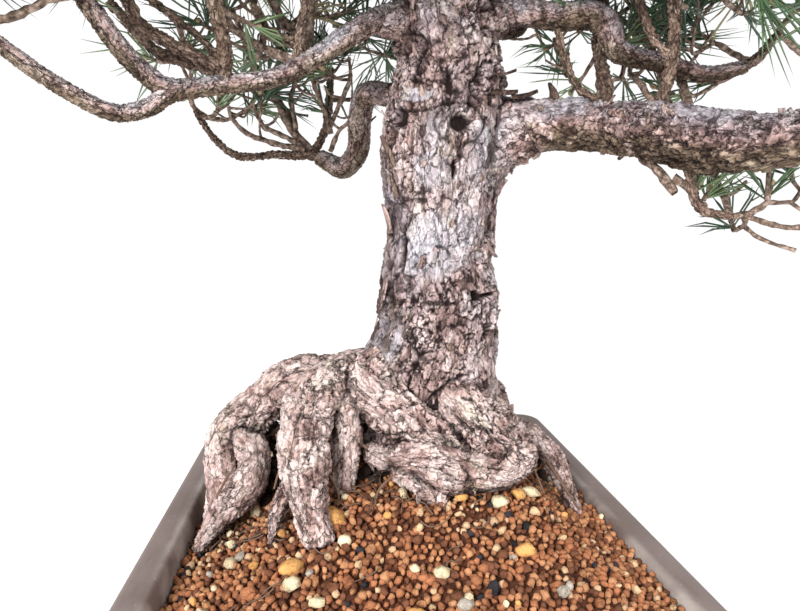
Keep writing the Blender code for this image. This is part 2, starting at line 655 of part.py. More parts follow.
def make_boughs(boughs, collection, helpers, finish):
    for name, path in boughs.items():
        piece = limb("bough_" + name, path, BOUGH_SIDES, collection, finish=finish)
        if name in FORK_OF:
            cutter = limb("cutter", boughs[FORK_OF[name]], BOUGH_SIDES, helpers, swell=GAP)
        else:
            cutter = limb("cutter", TRUNK, TRUNK_SIDES, helpers, swell=GAP)
        helpers.objects.unlink(cutter)
        combine(piece, "DIFFERENCE", [cutter])
        piece.data.materials.clear()
        piece.data.materials.append(finish)


def main():
    clear_scene()
    collection = new_collection("black_pine_bonsai")
    helpers = new_collection("helpers")
    bark = principled("bark", (0.30, 0.23, 0.20), 0.9)
    young_bark = principled("young_bark", (0.27, 0.19, 0.13), 0.9)
    needles = principled("needles", (0.08, 0.17, 0.06), 0.5)
    clay = principled("clay", (0.16, 0.12, 0.105), 0.75)
    soil = principled("soil", (0.30, 0.13, 0.055), 0.95)
    make_pot(collection, helpers, clay)
    add_object("soil", soil_mesh("soil"), collection, soil)
    make_trunk(collection, helpers, bark)
    boughs = all_boughs()
    make_boughs(boughs, collection, helpers, young_bark)
    masses = all_masses()
    crown = Crown(boughs, masses)
    total = 0
    for index, name in enumerate(crown.names):
        piece, sprays = mass(crown, index, masses[name], boughs, collection, helpers, needles)
        total += sprays
    for piece in collection.objects:
        print(piece.name, len(piece.data.polygons))
    print("sprays", total)


main()
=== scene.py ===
# %% [markdown]
# # A black pine bonsai, dressed
# The frame holds the tree's solids: pot, soil, trunk, boughs and foliage masses. These cells
# grow the fine surface round them: fissured bark, scaly twigs, paired needles and loose soil.

# %% The frame, and the box that the solids fill
import math
import random

import bmesh
import bpy
import numpy as np
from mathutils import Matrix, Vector
from mathutils.bvhtree import BVHTree


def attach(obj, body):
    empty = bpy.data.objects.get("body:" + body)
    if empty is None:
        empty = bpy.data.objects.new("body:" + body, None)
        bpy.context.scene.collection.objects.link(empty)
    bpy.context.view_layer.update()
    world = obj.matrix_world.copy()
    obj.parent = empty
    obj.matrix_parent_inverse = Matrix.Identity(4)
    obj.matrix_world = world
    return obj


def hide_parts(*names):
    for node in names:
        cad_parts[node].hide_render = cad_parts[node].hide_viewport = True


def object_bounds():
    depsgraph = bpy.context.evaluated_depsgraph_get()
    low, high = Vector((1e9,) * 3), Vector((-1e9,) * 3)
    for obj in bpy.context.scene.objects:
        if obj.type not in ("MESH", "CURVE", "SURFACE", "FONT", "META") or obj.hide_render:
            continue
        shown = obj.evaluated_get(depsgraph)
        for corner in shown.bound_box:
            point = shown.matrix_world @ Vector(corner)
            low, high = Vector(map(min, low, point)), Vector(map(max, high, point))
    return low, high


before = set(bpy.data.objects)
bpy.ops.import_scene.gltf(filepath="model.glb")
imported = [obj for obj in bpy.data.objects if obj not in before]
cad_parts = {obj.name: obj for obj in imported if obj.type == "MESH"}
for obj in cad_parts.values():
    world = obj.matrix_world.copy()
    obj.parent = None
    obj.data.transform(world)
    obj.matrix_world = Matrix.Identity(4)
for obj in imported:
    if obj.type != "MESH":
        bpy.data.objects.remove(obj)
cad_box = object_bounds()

MM = 0.001
GOLDEN_TURN = 2.39996          # radians between two neighbours on an even spiral
print("solids:", len(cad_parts), "box:", [[round(c, 3) for c in corner] for corner in cad_box])

# %% [markdown]
# ## Shared helpers
# Every finished mesh is placed the same way: as an object at the origin that rides on the plant's
# one body, with its finish, and the solids that it stands for are hidden.

# %% Helpers for colours and pieces
def linear(red, green, blue):
    """A screen colour, 0 to 255, as the linear values that shaders take."""
    return tuple((c / 255 / 12.92) if c <= 10 else ((c / 255 + 0.055) / 1.055) ** 2.4
                 for c in (red, green, blue))


def unit(way):
    """The same direction with a length of 1."""
    return way / np.linalg.norm(way)


def jolt(rng, most):
    """A seeded random step, each way up to this much."""
    return np.array([rng.uniform(-most, most) for _ in range(3)])


def put_in_scene(name, data):
    """A new object with this data, at the origin of the scene."""
    thing = bpy.data.objects.new(name, data)
    bpy.context.scene.collection.objects.link(thing)
    return thing


def place_piece(mesh, name, finish, slot, *nodes):
    """Put a finished mesh in the scene, riding on the plant, with its finish; the slot is not used."""
    piece = put_in_scene(name, mesh)
    mesh.materials.clear()
    mesh.materials.append(finish)
    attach(piece, "root")
    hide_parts(*nodes)
    triangles = len(mesh.loops) - 2 * len(mesh.polygons)
    print(f"{name}: {triangles} triangles")


print("a middle grey in linear values:", [round(c, 3) for c in linear(128, 128, 128)])

# %% [markdown]
# A mesh that repeats a small shape thousands of times is quickest to make from arrays. The next
# helpers turn arrays into meshes, join small shapes into one, and read arrays back from meshes.

# %% Helpers between arrays and meshes
def mesh_of_arrays(name, corners, faces, smooth=True):
    """A mesh from an array of corners in millimetres and an array of faces of one size."""
    mesh = bpy.data.meshes.new(name)
    faces = np.asarray(faces, np.int32)
    mesh.vertices.add(len(corners))
    mesh.vertices.foreach_set("co", (np.asarray(corners) * MM).astype(np.float32).ravel())
    mesh.loops.add(faces.size)
    mesh.loops.foreach_set("vertex_index", faces.ravel())
    mesh.polygons.add(len(faces))
    mesh.polygons.foreach_set("loop_start", np.arange(len(faces), dtype=np.int32) * faces.shape[1])
    mesh.update(calc_edges=True)
    mesh.validate()
    if smooth:
        mesh.shade_smooth()
    return mesh


def mesh_of_shape(name, shape):
    """A mesh from a bmesh, which is freed."""
    mesh = bpy.data.meshes.new(name)
    shape.to_mesh(mesh)
    shape.free()
    return mesh


def joined(parts):
    """One array of corners and one of faces from a list of small shapes."""
    counts = [len(corners) for corners, _ in parts]
    shifts = np.concatenate([[0], np.cumsum(counts)[:-1]])
    faces = [some_faces + shift for (_, some_faces), shift in zip(parts, shifts)]
    return np.concatenate([corners for corners, _ in parts]), np.concatenate(faces)


def place_parts(name, parts, finish, slot, *nodes, smooth=True):
    """Join small shapes, each an array of corners and one of faces, and place them as one piece."""
    place_piece(mesh_of_arrays(name, *joined(parts), smooth=smooth), name, finish, slot, *nodes)


def array_of(data, key="co", width=3):
    """One array with a row for each item of a mesh's data."""
    values = np.empty(len(data) * width, np.float32)
    data.foreach_get(key, values)
    return values.reshape(-1, width).astype(float)


def quads_of(mesh):
    """The corners of each face of a mesh of quads."""
    faces = np.empty(len(mesh.loops), np.int32)
    mesh.loops.foreach_get("vertex_index", faces)
    return faces.reshape(-1, 4)


def set_corners(mesh, corners):
    """Move a mesh's vertices to these places, in millimetres."""
    mesh.vertices.foreach_set("co", (corners * MM).astype(np.float32).ravel())


def set_pattern(mesh, tints, places):
    """Store the bark's tints, and the places along the limbs, for the shader to read."""
    for key, kind, what, values in (("bark", "FLOAT_COLOR", "color", tints),
                                    ("rest", "FLOAT_VECTOR", "vector", places)):
        attribute = mesh.attributes.new(key, kind, "POINT")
        attribute.data.foreach_set(what, values.astype(np.float32).ravel())


pair = [(np.zeros((3, 3)), np.array([[0, 1, 2]]))] * 2
print("faces of two triangles joined:", joined(pair)[1].tolist())

# %% [markdown]
# ## The skeleton
# The limbs follow the same few points as the solids. A Catmull-Rom path runs
# through them, so every finer thing grows from the same lines.

# %% Trunk, roots and boughs, in millimetres: x, y, z and radius
TRUNK = [
    (26, 24, 92, 41), (24, 24, 110, 38), (20, 24, 127, 36), (17, 23, 143, 36),
    (20, 23, 158, 33), (23, 23, 172, 30), (24, 23, 189, 30), (23, 23, 207, 27),
    (24, 23, 228, 26), (24, 23, 248, 28), (25, 23, 266, 30), (26, 23, 283, 29),
    (27, 23, 300, 25.5), (25, 23, 321, 23.5), (22, 24, 345, 21), (14, 28, 380, 17.5),
    (5, 26, 415, 15), (4, 17, 455, 12), (6, 9, 495, 8.5), (3, 4, 530, 5.5), (2, 2, 552, 3.5),
]
ROOTS = {
    "far_left": [
        (2, 24, 146, 12), (-20, 25, 148, 11), (-38, 26, 146, 9.5), (-53, 28, 144, 9), (-67, 29, 134, 10),
        (-78, 27, 123, 11), (-86, 24, 111, 10.5), (-89, 20, 99, 9), (-91, 16, 88, 7.5), (-93, 12, 74, 6)],
    "far_left_fork": [
        (-79, 20, 117, 7.5), (-72, 12, 108, 8), (-73, 5, 100, 7.5), (-79, 0, 92, 7), (-87, -4, 85, 6),
        (-94, -7, 77, 5), (-99, -9, 70, 3.5)],
    "left_front": [
        (0, 16, 150, 13), (-17, 14, 150, 11), (-30, 10, 150, 10), (-41, 0, 144, 10.5),
        (-45, -12, 135, 10.5), (-46, -22, 127, 10), (-45, -30, 118, 10), (-43, -37, 110, 9),
        (-41, -42, 103, 8), (-38, -46, 92, 6.5)],
    "left_front_fork": [
        (-45, -20, 120, 5.5), (-50, -28, 113, 5), (-55, -33, 106, 4.5), (-58, -35, 99, 4),
        (-60, -35, 86, 3)],
    "middle": [
        (-8, 12, 150, 9), (-14, 8, 147, 9), (-22, 3, 140, 7.5), (-25, -2, 133, 7), (-26, -7, 125, 7),
        (-26, -11, 116, 6.5), (-27, -14, 104, 5.5), (-28, -15, 92, 5)],
    "diagonal": [
        (6, 14, 158, 12), (-5, 11, 154, 12), (-14, 6, 149, 13), (-8, -1, 142, 13), (5, -8, 133, 12),
        (17, -13, 125, 10.5), (28, -15, 117, 8.5)],
    "elbow": [
        (20, 10, 162, 13), (22, 4, 152, 13.5), (24, -1, 144, 13), (32, -8, 135, 13), (42, -15, 126, 12.5),
        (50, -20, 118, 11), (46, -24, 111, 9), (30, -26, 113, 9), (16, -27, 116, 9), (3, -24, 118, 8),
        (-8, -16, 117, 6.5), (-14, -5, 114, 5)],
    "elbow_under": [
        (-4, -18, 120, 5.5), (-2, -25, 114, 5), (7, -30, 109, 4), (14, -31, 102, 3.5), (19, -30, 94, 3)],
    "right": [
        (35, 20, 138, 10), (43, 20, 133, 9.5), (54, 18, 126, 8), (65, 14, 117, 6), (74, 12, 112, 6),
        (81, 9, 105, 6), (86, 4, 96, 5), (89, -1, 87, 4.5), (92, -6, 78, 3.5), (93, -8, 70, 3)],
    "back_right": [
        (28, 34, 158, 15), (46, 52, 136, 15), (62, 68, 114, 11), (76, 84, 96, 8), (84, 94, 76, 6)],
    "back": [(20, 36, 160, 15), (12, 60, 134, 15), (3, 80, 112, 11), (-3, 100, 92, 8), (-6, 112, 74, 6)],
    "back_left": [
        (8, 34, 152, 15), (-18, 54, 130, 14), (-44, 70, 110, 11), (-62, 82, 94, 7.5), (-74, 90, 74, 6)],
}
BOUGHS = {
    "right_low": [
        (24, 23, 270, 18), (44, 23, 275, 15), (58, 16, 275, 12.5), (77, -2, 273, 11), (91, -14, 271, 10.5),
        (106, -32, 267, 11), (117, -55, 260, 11.5), (133, -74, 258, 9.5), (151, -90, 262, 7.5),
        (166, -101, 269, 6)],
    "right_high": [
        (25, 23, 326, 9), (47, 20, 328, 6.5), (61, 15, 328, 6), (79, 10, 325, 6.2), (92, 5, 325, 6.5),
        (100, 2, 319, 6), (103, 0, 309, 5.3), (112, 0, 305, 4.6), (126, 0, 303, 4.2), (149, 0, 298, 3.8),
        (172, 4, 303, 3.4)],
    "left_high": [
        (25, 23, 328, 9), (2, 16, 325, 6), (-10, 8, 320, 5.2), (-24, 0, 310, 4.7), (-35, -6, 301, 4.3),
        (-48, -12, 292, 4), (-59, -18, 287, 3.8), (-77, -26, 283, 3.8), (-94, -33, 280, 4),
        (-105, -37, 288, 3.8), (-112, -41, 297, 3.7), (-121, -46, 312, 3.5)],
    "left_fork": [
        (-88, -31, 281, 3.6), (-95, -34, 277, 3.5), (-101, -37, 272, 3.4), (-110, -42, 269, 3.3),
        (-118, -47, 271, 3.2), (-134, -53, 281, 3), (-150, -58, 294, 2.8)],
    "left_back": [
        (22, 28, 290, 8), (2, 42, 293, 6), (-11, 60, 297, 6.1), (-15, 68, 285, 6.3), (-16, 72, 268, 6.1),
        (-24, 76, 258, 5.9), (-32, 80, 261, 5.3), (-39, 82, 265, 4.7)],
}
RULE_BOUGHS = {                # height, direction, reach, rise, radius
    "back_right": (340, 48, 95, 14, 6.5), "back_low": (352, 96, 72, 10, 6.5),
    "left_back_high": (378, 146, 90, 14, 6.0), "front": (384, 262, 82, 22, 6.0),
    "front_left": (400, 212, 92, 24, 5.5), "front_right": (404, 322, 92, 20, 5.5),
    "right_upper": (420, 18, 98, 22, 5.2), "back_upper": (438, 88, 72, 22, 4.8),
    "left_upper": (450, 178, 80, 24, 4.6), "top_right": (482, 345, 42, 20, 3.4),
    "top_left": (496, 205, 40, 20, 3.0),
}
RULE_SAG = 6.0
RULE_BEND = 7.0                # how far such a bough sways to either side
RULE_SHAPE = ((0, 0), (0.3, -0.4), (0.55, -1.0), (0.8, -0.2), (1.0, 1.0))  # share of reach, lift


def smooth_path(points, steps):
    """Catmull-Rom path through x, y, z, radius, with a number of steps between two points."""
    knots = [np.array(p, float) for p in points]
    knots = [2 * knots[0] - knots[1]] + knots + [2 * knots[-1] - knots[-2]]
    path = []
    for before, start, end, after in zip(knots, knots[1:], knots[2:], knots[3:]):
        for step in range(steps):
            t = step / steps
            path.append(0.5 * (2 * start + (end - before) * t
                               + (2 * before - 5 * start + 4 * end - after) * t ** 2
                               + (3 * start - before - 3 * end + after) * t ** 3))
    path.append(knots[-2])
    return np.array(path)


def rule_bough(height, direction, reach, rise, radius):
    """A bough that leaves the trunk level, dips a little and rises to its tip."""
    below = [p for p in TRUNK if p[2] <= height][-1]
    above = [p for p in TRUNK if p[2] > height][0]
    share = (height - below[2]) / (above[2] - below[2])
    x, y, z, _ = [a + (b - a) * share for a, b in zip(below, above)]
    angle = math.radians(direction)
    path = []
    for share, lift in RULE_SHAPE:
        drop = RULE_SAG * lift if lift < 0 else rise * lift
        bend = RULE_BEND * math.sin(share * math.pi * 2)
        path.append((x + reach * share * math.cos(angle) - bend * math.sin(angle),
                     y + reach * share * math.sin(angle) + bend * math.cos(angle),
                     z + drop, radius * (1.25 - 0.7 * share)))
    return path


boughs = dict(BOUGHS)
boughs.update({"rule_" + name: rule_bough(*values) for name, values in RULE_BOUGHS.items()})
print("roots:", len(ROOTS), "boughs:", len(boughs))

# %% [markdown]
# A mass of foliage is an egg-shaped space at the end of a limb, with the bare leading shoots
# that enter it. The masses on the bough rule's boughs sit just beyond their tips.

# %% The foliage masses: centre, half sizes, limb and bare leading shoots
MASSES = {
    "left_low": ((-197, -74, 326), (84, 76, 52), "left_fork", [
        [(-144, -56, 289, 2.6), (-157, -60, 300, 2.5), (-176, -68, 314, 2.2)]]),
    "left_mid": ((-150, -44, 372), (78, 74, 48), "left_high", [
        [(-119, -45, 308, 3.2), (-125, -46, 322, 3), (-138, -46, 344, 2.6)]]),
    "left_twigs": ((-86, -18, 366), (64, 66, 50), "left_high", [
        [(-74, -25, 284, 3.2), (-73, -26, 294, 3.2), (-74, -28, 304, 3.4), (-78, -30, 330, 3.2)],
        [(-73, -25, 289, 3), (-92, -29, 297, 3), (-104, -33, 305, 3), (-110, -36, 320, 2.8)],
        [(-73, -25, 287, 2.8), (-91, -19, 294, 2.8), (-104, -17, 299, 2.8), (-121, -13, 318, 2.6)],
        [(-73, -25, 290, 2.2), (-83, -22, 302, 2), (-106, -15, 320, 2)]]),
    "left_inner": ((-34, -8, 372), (52, 60, 46), "left_high", [
        [(-45, -10, 293, 2.8), (-44, -7, 307, 2.6), (-40, -7, 326, 2.2)],
        [(-44, -7, 306, 2.2), (-57, -4, 310, 2.2), (-64, -4, 322, 2)]]),
    "left_back": ((-84, 112, 318), (92, 78, 62), "left_back", [
        [(-36, 81, 264, 3.8), (-46, 83, 266, 3.6), (-69, 88, 266, 2.9), (-88, 92, 266, 2.8),
         (-102, 96, 277, 2.6), (-112, 98, 293, 2.4)],
        [(-47, 83, 266, 2.8), (-55, 88, 285, 2.7), (-66, 94, 305, 2.5)],
        [(-43, 82, 265, 2.8), (-34, 85, 284, 2.7), (-31, 92, 318, 2.5)]]),
    "right_low": ((193, -126, 306), (78, 80, 56), "right_low", [
        [(161, -98, 267, 5), (171, -104, 272, 4.5), (186, -112, 288, 3.5)]]),
    "right_mid": ((122, -58, 352), (66, 68, 46), "right_low", [
        [(106, -35, 270, 3.4), (111, -35, 288, 3.3), (113, -36, 301, 3), (109, -38, 330, 2.7)],
        [(112, -35, 296, 2.5), (104, -33, 306, 2.3), (97, -30, 324, 2.1)]]),
    "right_column": ((104, 34, 372), (66, 56, 46), "right_low", [
        [(92, -12, 276, 3.9), (98, -5, 287, 3.8), (101, 12, 308, 3.6), (104, 20, 336, 3.2)],
        [(95, -8, 282, 2.6), (86, -7, 287, 2.3), (81, -3, 295, 2.2), (76, 4, 318, 2)]]),
    "right_under": ((160, -44, 236), (56, 50, 34), "right_low", [
        [(114, -49, 256, 2.6), (117, -49, 242, 2.5), (122, -49, 233, 2.3), (136, -48, 230, 2)]]),
    "right_tip": ((202, 18, 338), (70, 84, 54), "right_high", [
        [(168, 3, 302, 2.9), (180, 6, 308, 2.7), (194, 12, 322, 2.3)]]),
    "top": ((4, 4, 560), (62, 58, 44), "trunk", [
        [(2.2, 2.4, 546, 2.8), (2, 2, 562, 2.4)]]),
}
RULE_MASS_HALF = {
    "back_right": (84, 78, 52), "back_low": (84, 70, 52), "left_back_high": (78, 70, 48),
    "front": (84, 76, 48), "front_left": (76, 72, 46), "front_right": (76, 74, 46),
    "right_upper": (76, 74, 46), "back_upper": (76, 68, 46), "left_upper": (74, 72, 44),
    "top_right": (64, 62, 42), "top_left": (62, 60, 42),
}
RULE_MASS_LIFT = 16.0
RULE_MASS_OUT = 42.0

masses = dict(MASSES)
for name, half in RULE_MASS_HALF.items():
    path = rule_bough(*RULE_BOUGHS[name])
    before, tip = np.array(path[-2][:3]), np.array(path[-1][:3])
    angle = math.radians(RULE_BOUGHS[name][1])
    outward = np.array([math.cos(angle), math.sin(angle), 0.0])
    centre = tip + outward * RULE_MASS_OUT + np.array([0, 0, RULE_MASS_LIFT])
    along = unit(tip - before)
    radius = path[-1][3] * 0.8
    masses[name] = (tuple(centre), half, "rule_" + name, [[
        (*(tip - along * 4), radius), (*(tip + along * 8), radius),
        (*(tip * 0.55 + centre * 0.45), radius * 0.8)]])
print("masses:", len(masses))

# %% [markdown]
# ## Two patterns in numbers
# Bark is cracked plates, and the same pattern has to lift the surface and tint it. Worked out
# once for each vertex, it can do both: the relief moves the vertex, and an attribute carries
# the pattern to the shader. So noise and cells are written here for arrays of points.

# %% Smooth noise and cells for arrays of points
def lattice(cells, seed):
    """A number from 0 to 1 for each whole-numbered cell."""
    mask = 0xFFFFFFFF
    mixed = (cells[..., 0] * 374761393 + cells[..., 1] * 668265263 + cells[..., 2] * 2246822519
             + seed * 3266489917) & mask
    mixed = ((mixed ^ (mixed >> 13)) * 1274126177) & mask
    mixed ^= mixed >> 16
    mixed = (mixed * 1103515245 + 12345) & mask
    return ((mixed >> 8) & 0xFFFF) / 65535.0


def noise(points, seed):
    """Smooth noise from 0 to 1."""
    base = np.floor(points).astype(np.int64)
    t = points - base
    t = t * t * (3 - 2 * t)
    total = 0.0
    for step in np.ndindex(2, 2, 2):
        share = np.where(step, t, 1 - t)
        total = total + share[:, 0] * share[:, 1] * share[:, 2] * lattice(base + np.array(step), seed)
    return total


def cells(points, seed):
    """Nearest cell centre: its distance, the gap to the next one, its own number, and the way to it."""
    base = np.floor(points).astype(np.int64)
    part = points - base
    near = np.full(len(points), 9.0)
    second = np.full(len(points), 9.0)
    own = np.zeros(len(points))
    way = np.zeros_like(points)
    for step in np.ndindex(3, 3, 3):
        shift = np.array(step) - 1
        cell = base + shift
        spot = np.stack([lattice(cell, seed + k) for k in (1, 2, 3)], axis=1)
        offset = spot + shift - part
        distance = np.linalg.norm(offset, axis=1)
        closer = distance < near
        second = np.where(closer, near, np.minimum(second, distance))
        own = np.where(closer, lattice(cell, seed + 4), own)
        way = np.where(closer[:, None], offset, way)
        near = np.where(closer, distance, near)
    return near, second - near, own, way


def ease(values, low, high):
    """0 below low, 1 above high, and a smooth step between them."""
    t = np.clip((values - low) / (high - low), 0, 1)
    return t * t * (3 - 2 * t)


print("noise along a line:", noise(np.linspace(0, 2, 5)[:, None] * np.ones(3), 1).round(2))

# %% [markdown]
# ## The wood: one skin over trunk, roots and boughs
# Real wood flows from trunk into root and bough with no seam. A voxel remesh melts the limbs'
# tubes into one skin and a little smoothing rounds the joins, as sculptors start a tree.

# %% Melt the limbs into one skin
WOOD_VOXEL = 0.85
WOOD_SIDES = 20
WOOD_STEPS = 4
WOOD_ROUNDS = 8                # rounds of smoothing
SHOULDERS = {                  # swellings where a bough leaves the trunk
    "right_low": [(27, 23, 236, 22), (36, 21, 252, 19.5), (50, 18, 266, 15.5), (68, 8, 273, 12)],
    "right_high": [(27, 23, 312, 20), (40, 21, 322, 12), (54, 17, 327, 7.5)],
    "left_high": [(24, 23, 312, 20), (8, 18, 322, 10), (-8, 9, 319, 5.6)],
}
wood_paths = [TRUNK, *ROOTS.values(), *SHOULDERS.values(), *boughs.values()]


def taken(thing):
    """An object's mesh with its modifiers applied; the object goes."""
    bpy.context.view_layer.update()
    mesh = bpy.data.meshes.new_from_object(thing.evaluated_get(bpy.context.evaluated_depsgraph_get()))
    bpy.data.objects.remove(thing, do_unlink=True)
    return mesh


def melted(paths, voxel, rounds):
    """Tubes along the paths, remeshed into one skin and smoothed."""
    curve = bpy.data.curves.new("limbs", "CURVE")
    curve.dimensions = "3D"
    curve.bevel_depth = MM
    curve.bevel_resolution = WOOD_SIDES // 2 - 2
    curve.use_fill_caps = True
    for points in paths:
        path = smooth_path(points, WOOD_STEPS)
        spline = curve.splines.new("POLY")
        spline.points.add(len(path) - 1)
        for point, (x, y, z, radius) in zip(spline.points, path):
            point.co = (x * MM, y * MM, z * MM, 1.0)
            point.radius = radius
    tubes = taken(put_in_scene("limbs", curve))
    shape = bmesh.new()
    shape.from_mesh(tubes)
    bmesh.ops.remove_doubles(shape, verts=shape.verts, dist=0.00001)
    bmesh.ops.recalc_face_normals(shape, faces=shape.faces)
    shape.to_mesh(tubes)
    shape.free()
    skin = put_in_scene("skin", tubes)
    remesh = skin.modifiers.new("remesh", "REMESH")
    remesh.mode = "VOXEL"
    remesh.voxel_size = voxel * MM
    soften = skin.modifiers.new("soften", "SMOOTH")
    soften.factor = 0.5
    soften.iterations = rounds
    return taken(skin)


wood = melted(wood_paths, WOOD_VOXEL, WOOD_ROUNDS)
print("wood skin:", len(wood.vertices), "vertices")

# %% [markdown]
# ## Coordinates that follow the limbs
# Plates on a bough run along the bough, so each vertex needs its place along its own limb and
# round it. The nearest point on the limbs' paths gives both.

# %% Unroll the limbs
SAMPLE_EVERY = 3.5             # millimetres between two samples of a limb's path
SAMPLE_STEPS = 14
UNROLL_BATCH = 20000           # points worked out at a time


def lengths_along(path):
    """The length from a path's start to each of its points."""
    steps = np.linalg.norm(np.diff(path[:, :3], axis=0), axis=1)
    return np.concatenate([[0], np.cumsum(steps)])


def points_at(path, length, marks):
    """Places and radii at these lengths along a path."""
    return np.stack([np.interp(marks, length, path[:, k]) for k in range(4)], axis=1)


def limb_samples(paths):
    """Points, radii, directions and lengths along every limb, with two axes across each."""
    rows = []
    for number, points in enumerate(paths):
        path = smooth_path(points, SAMPLE_STEPS)
        length = lengths_along(path)
        marks = np.arange(0, length[-1], SAMPLE_EVERY)
        line = points_at(path, length, marks)
        tangent = np.gradient(line[:, :3], axis=0)
        tangent /= np.linalg.norm(tangent, axis=1)[:, None]
        across = np.cross(tangent[0], [0.3, 0.9, 0.2])
        for k in range(len(line)):
            across = across - tangent[k] * (across @ tangent[k])
            across /= np.linalg.norm(across)
            rows.append([*line[k], *tangent[k], *across, *np.cross(tangent[k], across), marks[k], number])
    return np.array(rows)


def unroll(points, samples):
    """Each point's place along its limb and across it, its limb's radius and number, and how
    much farther the next limb is."""
    chosen = np.empty(len(points), int)
    margin = np.empty(len(points))
    centres = samples[:, :3]
    squares = (centres ** 2).sum(axis=1)
    first_rows = np.searchsorted(samples[:, 14], np.arange(samples[-1, 14] + 1))
    for start in range(0, len(points), UNROLL_BATCH):
        part = points[start:start + UNROLL_BATCH]
        gap = np.sqrt(np.maximum((part ** 2).sum(axis=1)[:, None] - 2 * part @ centres.T + squares, 0))
        gap -= samples[:, 3]
        chosen[start:start + UNROLL_BATCH] = np.argmin(gap, axis=1)
        nearest = np.sort(np.minimum.reduceat(gap, first_rows, axis=1), axis=1)
        margin[start:start + UNROLL_BATCH] = nearest[:, 1] - nearest[:, 0]
    row = samples[chosen]
    offset = points - row[:, :3]
    along = (offset * row[:, 4:7]).sum(axis=1)
    rest = np.stack([(offset * row[:, 7:10]).sum(axis=1), (offset * row[:, 10:13]).sum(axis=1),
                     row[:, 13] + along], axis=1)
    return rest, row[:, 3], row[:, 14].astype(int), margin


samples = limb_samples(wood_paths)
wood_points = array_of(wood.vertices) / MM
wood_normals = array_of(wood.vertex_normals, "vector")
wood_rest, wood_radius, wood_limb, wood_margin = unroll(wood_points, samples)
print("samples of the limbs:", len(samples))

# %% [markdown]
# Shade is painted where roots meet each other, and shade and some dirt where they meet the
# soil. A coarse grid of what is solid, blurred, tells how closed in each place is.

# %% How closed in each place is
CAVITY_CELL = 4.0
CAVITY_MARGIN = 36.0
ABOVE_SOIL = 0.3               # metres
CAVITY_STEPS = (4.0, 8.0, 13.0)
ground = BVHTree.FromObject(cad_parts["soil"], bpy.context.evaluated_depsgraph_get())


def soil_height(x, y):
    """The height of the soil's top here, or None beside it."""
    hit = ground.ray_cast(Vector((x * MM, y * MM, ABOVE_SOIL)), Vector((0, 0, -1)))
    return hit[0].z / MM if hit[0] is not None else None


def closeness(points, normals, samples):
    """Share of solid just in front of each point."""
    low = samples[:, :3].min(axis=0) - CAVITY_MARGIN
    high = samples[:, :3].max(axis=0) + CAVITY_MARGIN
    shape = np.ceil((high - low) / CAVITY_CELL).astype(int)
    solid = np.zeros(shape, np.float32)
    axes = [low[k] + (np.arange(shape[k]) + 0.5) * CAVITY_CELL for k in range(3)]
    for i, x in enumerate(axes[0]):
        for j, y in enumerate(axes[1]):
            height = soil_height(x, y)
            if height is not None:
                solid[i, j] = axes[2] < height
    for x, y, z, radius in samples[:, :4]:
        reach = int(radius // CAVITY_CELL) + 2
        cell = ((np.array([x, y, z]) - low) / CAVITY_CELL).astype(int)
        first, last = np.maximum(cell - reach, 0), cell + reach + 1
        block = np.ix_(*[axes[k][first[k]:last[k]] for k in range(3)])
        gap = np.sqrt((block[0] - x) ** 2 + (block[1] - y) ** 2 + (block[2] - z) ** 2)
        part = solid[first[0]:last[0], first[1]:last[1], first[2]:last[2]]
        np.maximum(part, np.clip((radius - gap) / CAVITY_CELL + 0.5, 0, 1), out=part)
    for _ in range(2):
        for axis in range(3):
            solid = (np.roll(solid, 1, axis) + solid + np.roll(solid, -1, axis)) / 3
    closed = np.zeros(len(points))
    for step in CAVITY_STEPS:
        cell = ((points + normals * step - low) / CAVITY_CELL).astype(int)
        cell = np.clip(cell, 0, shape - 1)
        closed += solid[cell[:, 0], cell[:, 1], cell[:, 2]] / 3
    return closed


wood_closed = closeness(wood_points, wood_normals, samples)
print("closed in:", [round(float(np.percentile(wood_closed, k)), 2) for k in (5, 50, 95)])

# %% [markdown]
# ## The relief of pine bark
# Old pine bark is shed in thin layers, so its surface looks like a map with contour lines: a
# stepped noise makes these. Fissures run up the trunk where the bark has split, and cells of two
# sizes break the layers into scales. Every pattern is first bent by noise, or it looks drawn.

# %% Relief and tint of the bark
PLATE = (9.0, 9.0, 19.0)       # a plate's width, depth and length on the trunk, in millimetres
FLAKE = (3.8, 3.8, 6.2)
SCALE = (1.9, 1.9, 2.7)
FISSURE = (8.0, 8.0, 42.0)     # spacing and length of the fissures
LAYERS = (13.0, 13.0, 19.0)    # how fast the layers change
LAYER_COUNT = 8.0
LAYER_STEP = 0.55
BARK_LIFT = 0.9                # the relief stands this far out of the limb on average
LIMB_SHIFT = np.array([61.0, 37.0, 113.0])     # parts the patterns of two limbs


def of_roots(limb):
    """Which of these numbers of limbs are roots."""
    return (limb > 0) & (limb <= len(ROOTS))


def bent(place, size):
    """Places moved by noise, coarse and fine."""
    coarse = np.stack([noise(place / 10.0, k) for k in (11, 12, 13)], axis=1) - 0.5
    fine = np.stack([noise(place / 3.0, k) for k in (14, 15, 16)], axis=1) - 0.5
    return place + coarse * (9.0 * size)[:, None] + fine * (2.6 * size)[:, None]


